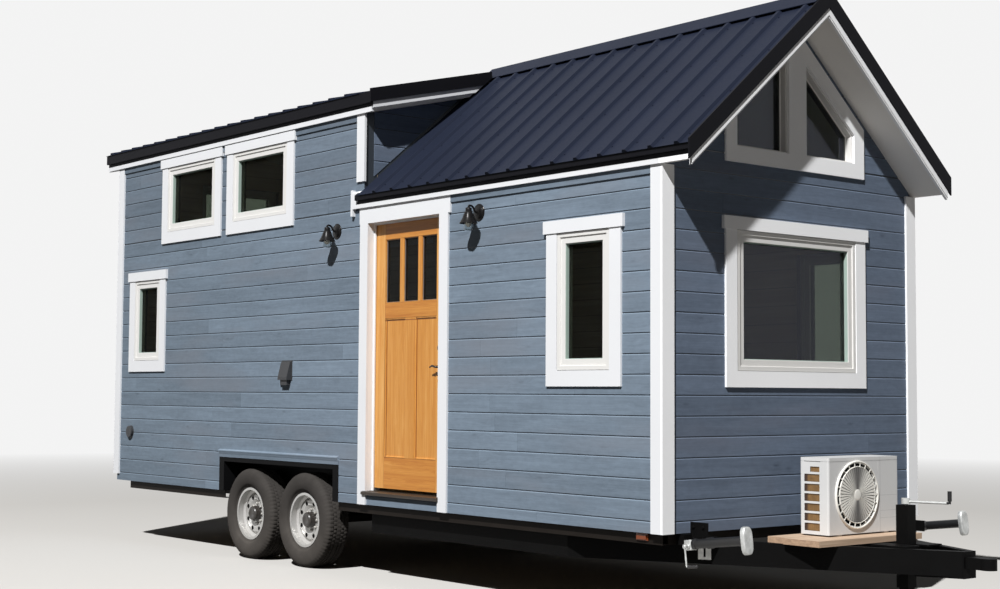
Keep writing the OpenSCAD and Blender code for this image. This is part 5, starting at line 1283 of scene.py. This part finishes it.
for ahead in (-LIGHT_OFF, LIGHT_OFF):
    x, y, z = at(DOOR_X + ahead, -HALF_W, LIGHT_Z)
    metal.lay(wall_plate, "-y", (x, y, z))
    metal.add(*rod(rounded([(x, y - out, z + up) for out, up in arm_path]), 0.0075, 20))
    for parts, form in ((metal, bell), (jars, jar), (bulbs, bulb)):
        parts.lay(form, "z", (x, y - LIGHT_OUT, z))
lights = metal.build("barn_lights", lamp_black, "house", 35)
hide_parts("wall_lights")
jars.build("light_jars", clear, "house", 35)
bulbs.build("light_bulbs", frosted, "house", 35)
print("two wall lights at height", round(BASE_Z + LIGHT_Z, 3))

# %% [markdown]
# ## The outdoor unit
#
# The housing is white enamel. Its fan sits in a round recess behind a guard of radial
# vanes that widen outwards, and seven slots in its side show the finned coil. The shader
# paints the recess and the backs of the slots near black as painted shade, the recess by
# its distance from the fan's axis. The guard is made of two turned rims, a turned cap,
# thin rings and straight vanes, all as small closed forms.

# %% Housing, coil and fan
def unit_finish():
    f = Finish("unit_enamel")
    x, y, z = f.axes()
    behind = FAN_CENTRE[0] - x
    recess_shade = length(y - FAN_CENTRE[1], z - FAN_CENTRE[2]).below(0.2006) * behind.above(0.0015) * behind.below(0.08)
    slot_shade = y.above(-0.2972) * y.below(-0.28) * x.below(FRONT_X + 0.43) * x.above(FRONT_X + 0.3)
    slot_shade = slot_shade * z.below(BASE_Z + 0.45) * z.above(BASE_Z - 0.01)
    cloud = f.noise(f.coords, 5.0, 3.0, 0.5)
    enamel = f.mix(cloud, (0.58, 0.58, 0.575), (0.65, 0.65, 0.645))
    front = behind.below(0.002)
    cover = y.above(0.229) * y.below(0.414) * front
    seam = (y - 0.228).abs().below(0.0014) * front
    for line in (0.067, 0.114, 0.213):
        seam = seam + (z - (BASE_Z + line)).abs().below(0.001) * cover
    enamel = f.mix((seam * 0.45).clamp(), enamel, (0.16, 0.16, 0.165))
    # near black in the fan's recess and behind the slots: painted shade
    dark = (recess_shade + slot_shade).clamp()
    f.set(Base_Color=f.mix(dark, enamel, (0.02, 0.018, 0.016)), Roughness=0.36 + dark * 0.3, Specular_IOR_Level=0.3)
    f.bump(f.noise(f.coords, 160.0, 2.0, 0.5), 0.0003, 0.3)
    return f


def coil_finish():
    f = Finish("coil_fins")
    x, y, z = f.axes()
    fin = ((x * 420.0).fract() - 0.5).abs() * 2.0
    stain = f.noise(f.coords, 26.0, 3.0, 0.6)
    shaded = ((x - (FRONT_X + 0.316)) * 60.0).clamp()
    brown = f.ramp((fin * 0.5 + stain * 0.6).clamp(), [(0.2, (0.085, 0.045, 0.016)), (0.8, (0.3, 0.175, 0.07))])
    f.set(Base_Color=f.mix(shaded, (0.05, 0.028, 0.02), brown), Roughness=0.5, Metallic=0.25)
    f.bump(fin, 0.0008, 0.6)
    return f


assign("outdoor_unit", unit_finish())
SLOT_PITCH, SLOT_H = 0.062, 0.048
coil = Parts()
for i in range(7):
    top = i == 6
    x0, height = (0.35, 0.7 * SLOT_H) if top else (0.302, SLOT_H)
    count = int((0.424 - x0) / 0.003)
    run = np.linspace(x0 + 0.0004, 0.4236, count)
    depth = np.where(np.arange(count) % 2, 0.0085, 0.0055)
    low, high = 0.0014 + i * SLOT_PITCH, 0.0006 + i * SLOT_PITCH + height
    grid = np.stack([np.stack([run + FRONT_X, -0.2975 + depth, np.full(count, z + BASE_Z)], 1) for z in (low, high)])
    coil.add(*plate(grid, (0.0, 0.0012, 0.0)))
coil.build("unit_coil", coil_finish())


def fan_blade(turn):
    """A blade: the angle sweeps with t, and the depth falls from the leading to the trailing edge."""
    t, r = np.meshgrid(np.linspace(0.0, 1.0, 12), np.linspace(0.04, 0.182, 9), indexing="ij")
    angle = turn + math.radians(92.0) * t + 1.6 * (r - 0.04)
    depth = -0.02 - 0.03 * t - 0.01 * np.sin(math.pi * t)
    return np.stack([depth, r * np.cos(angle), r * np.sin(angle)], -1) + np.array(FAN_CENTRE)


fan = Parts()
for k in range(3):
    fan.add(*plate(fan_blade(k * 2 * math.pi / 3 + 0.4), (0.0018, 0.0, 0.0)))
hub = lathe(mm(0, -66, 46, -66, 46, -22, 40, -14, 20, -10, 0, -9), 40)
fan.lay(hub, "x", FAN_CENTRE)
fan.build("unit_fan", fan_grey, "house", 40)
print("coil and fan", coil.count + fan.count, "points")

# %% Fan guard
rim = lathe(mm(206, 0.5, 218, 0.5, 218, 5.5, 216.5, 9.5, 213.5, 12.5, 208.5, 12.5, 206, 10), 96, True)
inner_rim = lathe(mm(176.5, 2.5, 181.5, 2.5, 181.5, 10.5, 179, 12.2, 176.5, 10.5), 96, True)
centre = lathe(mm(0, 2, 35, 2, 35, 8.5, 31, 11.8, 15, 13.2, 0, 13.6), 48)
guard = Parts()
for form in (rim, inner_rim, centre):
    guard.lay(form, "x", FAN_CENTRE)
for radius in np.linspace(0.052, 0.164, 11):
    wire = [(radius + 0.0012 * math.cos(a), 0.0048 + 0.0012 * math.sin(a)) for a in np.arange(5) * 2 * math.pi / 5]
    guard.lay(lathe(wire, 72, True), "x", FAN_CENTRE)
for count, r0, r1, wide, spread in ((48, 0.0345, 0.177, 0.0011, 0.05), (22, 0.1812, 0.2065, 0.0032, 0.0)):
    bar, faces = slab(r0, r1, -1.0, 1.0, 0.0072, 0.0106, 0.0004)
    bar[:, 1] *= wide + (bar[:, 0] - r0) * spread
    for k in range(count):
        guard.lay((bar, faces), "x", FAN_CENTRE, k * 2 * math.pi / count)
guard_piece = guard.build("fan_guard", grille_plastic, "house", 30)
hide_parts("unit_grille")
print("guard points", guard.count)

# %% [markdown]
# ## Screws and bolts
#
# Rows of painted screws hold the roofing sheet beside its ribs, and hex bolts hold the
# jack brackets. Each is a turned form of a few dozen faces, leaned over to stand square
# on its surface.

# %% Roof screws and bolts
SCREW_PITCH = 0.229
screw = lathe(mm(0, 0, 7.5, 0, 8, 1.2, 4.8, 1.6, 4.4, 5.2, 0, 6), 8)


def roof_rows(z0, slope, x0, x1):
    """Feet of the screws on a slope, in four rows; the sheet's top lies 3.3 mm over the deck."""
    y, x = np.meshgrid(np.linspace(0.17, 1.27, 4), np.arange(x0, x1, SCREW_PITCH), indexing="ij")
    lift = 0.0033 / math.cos(math.atan(slope))
    return np.stack([x, y, z0 - slope * y + lift], -1).reshape(-1, 3)


screws = Parts()
gable_feet = roof_rows(3.5253, GABLE_SLOPE, -GABLE_LEN + 0.271, 0.26)
dormer_feet = roof_rows(3.5073, DORMER_SLOPE, -BODY_LEN - 0.225 + 0.16, -GABLE_LEN - 0.02)
for feet, slope in ((gable_feet, GABLE_SLOPE), (dormer_feet, DORMER_SLOPE)):
    lean = math.atan(slope)
    x, y, z = screw[0].T
    for sign in (-1.0, 1.0):
        local = np.stack([x, y * math.cos(lean) + z * math.sin(lean), z * math.cos(lean) - y * math.sin(lean)], 1)
        for spot in (feet[:, None] + local[None]) * (1.0, sign, 1.0) + at(0.0, 0.0, 0.0):
            screws.add(spot, screw[1])
screws.build("roof_screws", roof_paint)

bolts = Parts()
bolt = lathe(mm(0, 0, 13.5, 0, 13.5, 1.8, 9.5, 1.9, 9.5, 8.5, 7.5, 9.8, 0, 9.8), 6)
for sign in (-1.0, 1.0):
    for x, z in ((0.05, -0.03), (0.05, 0.04), (0.13, -0.03), (0.13, 0.04)):
        bolts.lay(bolt, "-y" if sign < 0 else "y", at(x, sign * 1.0502, z))
bolts.build("bracket_bolts", tongue_paint)
print("screws", len(gable_feet) * 2 + len(dormer_feet) * 2)

# %% [markdown]
# ## Corner jacks
#
# Two jacks are swung up against the frame in front. Each is a tube with a head, a crank
# and a dished foot, made lying along its own axis and then leaned into its place.

# %% Corner jacks
def swing_jack(sign):
    """A corner jack laid up: u along its tube, v towards the house's middle, w up, from its pin.

    Leaning by t: x = u cos t - w sin t, z = u sin t + w cos t. The foot is a turned dish whose unit
    circle is drawn out to |v / a|^n + |w / b|^n = 1, a rectangle with round corners.
    """
    head, parts = (-0.13, 0.0, -0.01), Parts()
    for profile, steps, ring, *where in (
            (mm(0, -116, 32.5, -116, 33.5, -114, 33.5, -94, 29, -91.5, 29, 325.5, 0, 325.5), 40, False, "x"),
            (mm(16.3, 0, 32.5, 0, 34, 1.5, 34, 43.5, 32.5, 45, 16.3, 45), 40, True, "y"),
            (mm(0, -175, 20, -175, 22, -173, 22, -171, 0, -171), 32, False, "x"),
            (mm(0, -77, 6.5, -77, 8, -75.5, 8, -33, 0, -33), 20, False, "y", head),
            (mm(0, -44, 13.5, -44, 14.5, -42.5, 14.5, -33, 0, -33), 6, False, "y", head),
            (mm(8.2, -76, 13.8, -76, 14.5, -74.5, 14.5, -65.5, 13.8, -64, 8.2, -64), 24, True, "y", head),
            (mm(0, -119, 8, -119, 9.8, -117, 9.8, -43, 8, -41, 0, -41), 24, False, "x", (0.0, -0.07, -0.1348))):
        parts.lay(lathe(profile, steps, ring), *where)
    parts.add(*slab(-0.1715, -0.1165, -0.034, 0.028, -0.036, 0.028, 0.004))
    bend = mm(-130, -70, -16, -130, -70, -116, -130, -70, -134.8, -112, -70, -134.8, -60, -70, -134.8, width=3)
    parts.add(*rod(rounded(bend), 0.0058, 14))
    dish, faces = lathe([(0.0, 0.3205), (0.82, 0.324), (0.9, 0.3222), (0.942, 0.3165), (0.95, 0.302),
                         (1.0, 0.302), (1.0, 0.3175), (0.975, 0.325), (0.92, 0.3292), (0.84, 0.33),
                         (0.6, 0.329), (0.0, 0.3262)], 64)
    flat, power = dish[:, :2], 3.4
    reach = np.maximum(np.hypot(*flat.T), 1e-9)
    drawn = np.maximum(np.sum((np.abs(flat) / reach[:, None]) ** power, 1), 1e-6) ** (-1.0 / power)
    parts.add(np.stack([dish[:, 2], flat[:, 0] * drawn * 0.041, flat[:, 1] * drawn * 0.084], 1), faces)
    u, v, w = np.concatenate(parts.points).T
    parts.points = [np.stack([JACK_PIN[0] + u * math.cos(JACK_LEAN) - w * math.sin(JACK_LEAN),
                              sign * (JACK_PIN[1] + v),
                              JACK_PIN[2] + u * math.sin(JACK_LEAN) + w * math.cos(JACK_LEAN)], 1)]
    return parts


for side, sign in (("left", 1.0), ("right", -1.0)):
    jack = swing_jack(sign).build("swing_jack_" + side, jack_metal, "corner_jack_" + side, 35)
    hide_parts("corner_jack_" + side)
print("jacks swing about", [round(v, 3) for v in JACK_PIN])

# %% [markdown]
# ## Clearing the marks
#
# Every new piece was marked as dressing when it was made, and the marks are taken off again here.

# %% Clearing the dressing marks
for piece in bpy.context.scene.objects:
    if piece.get("dressing"):
        del piece["dressing"]
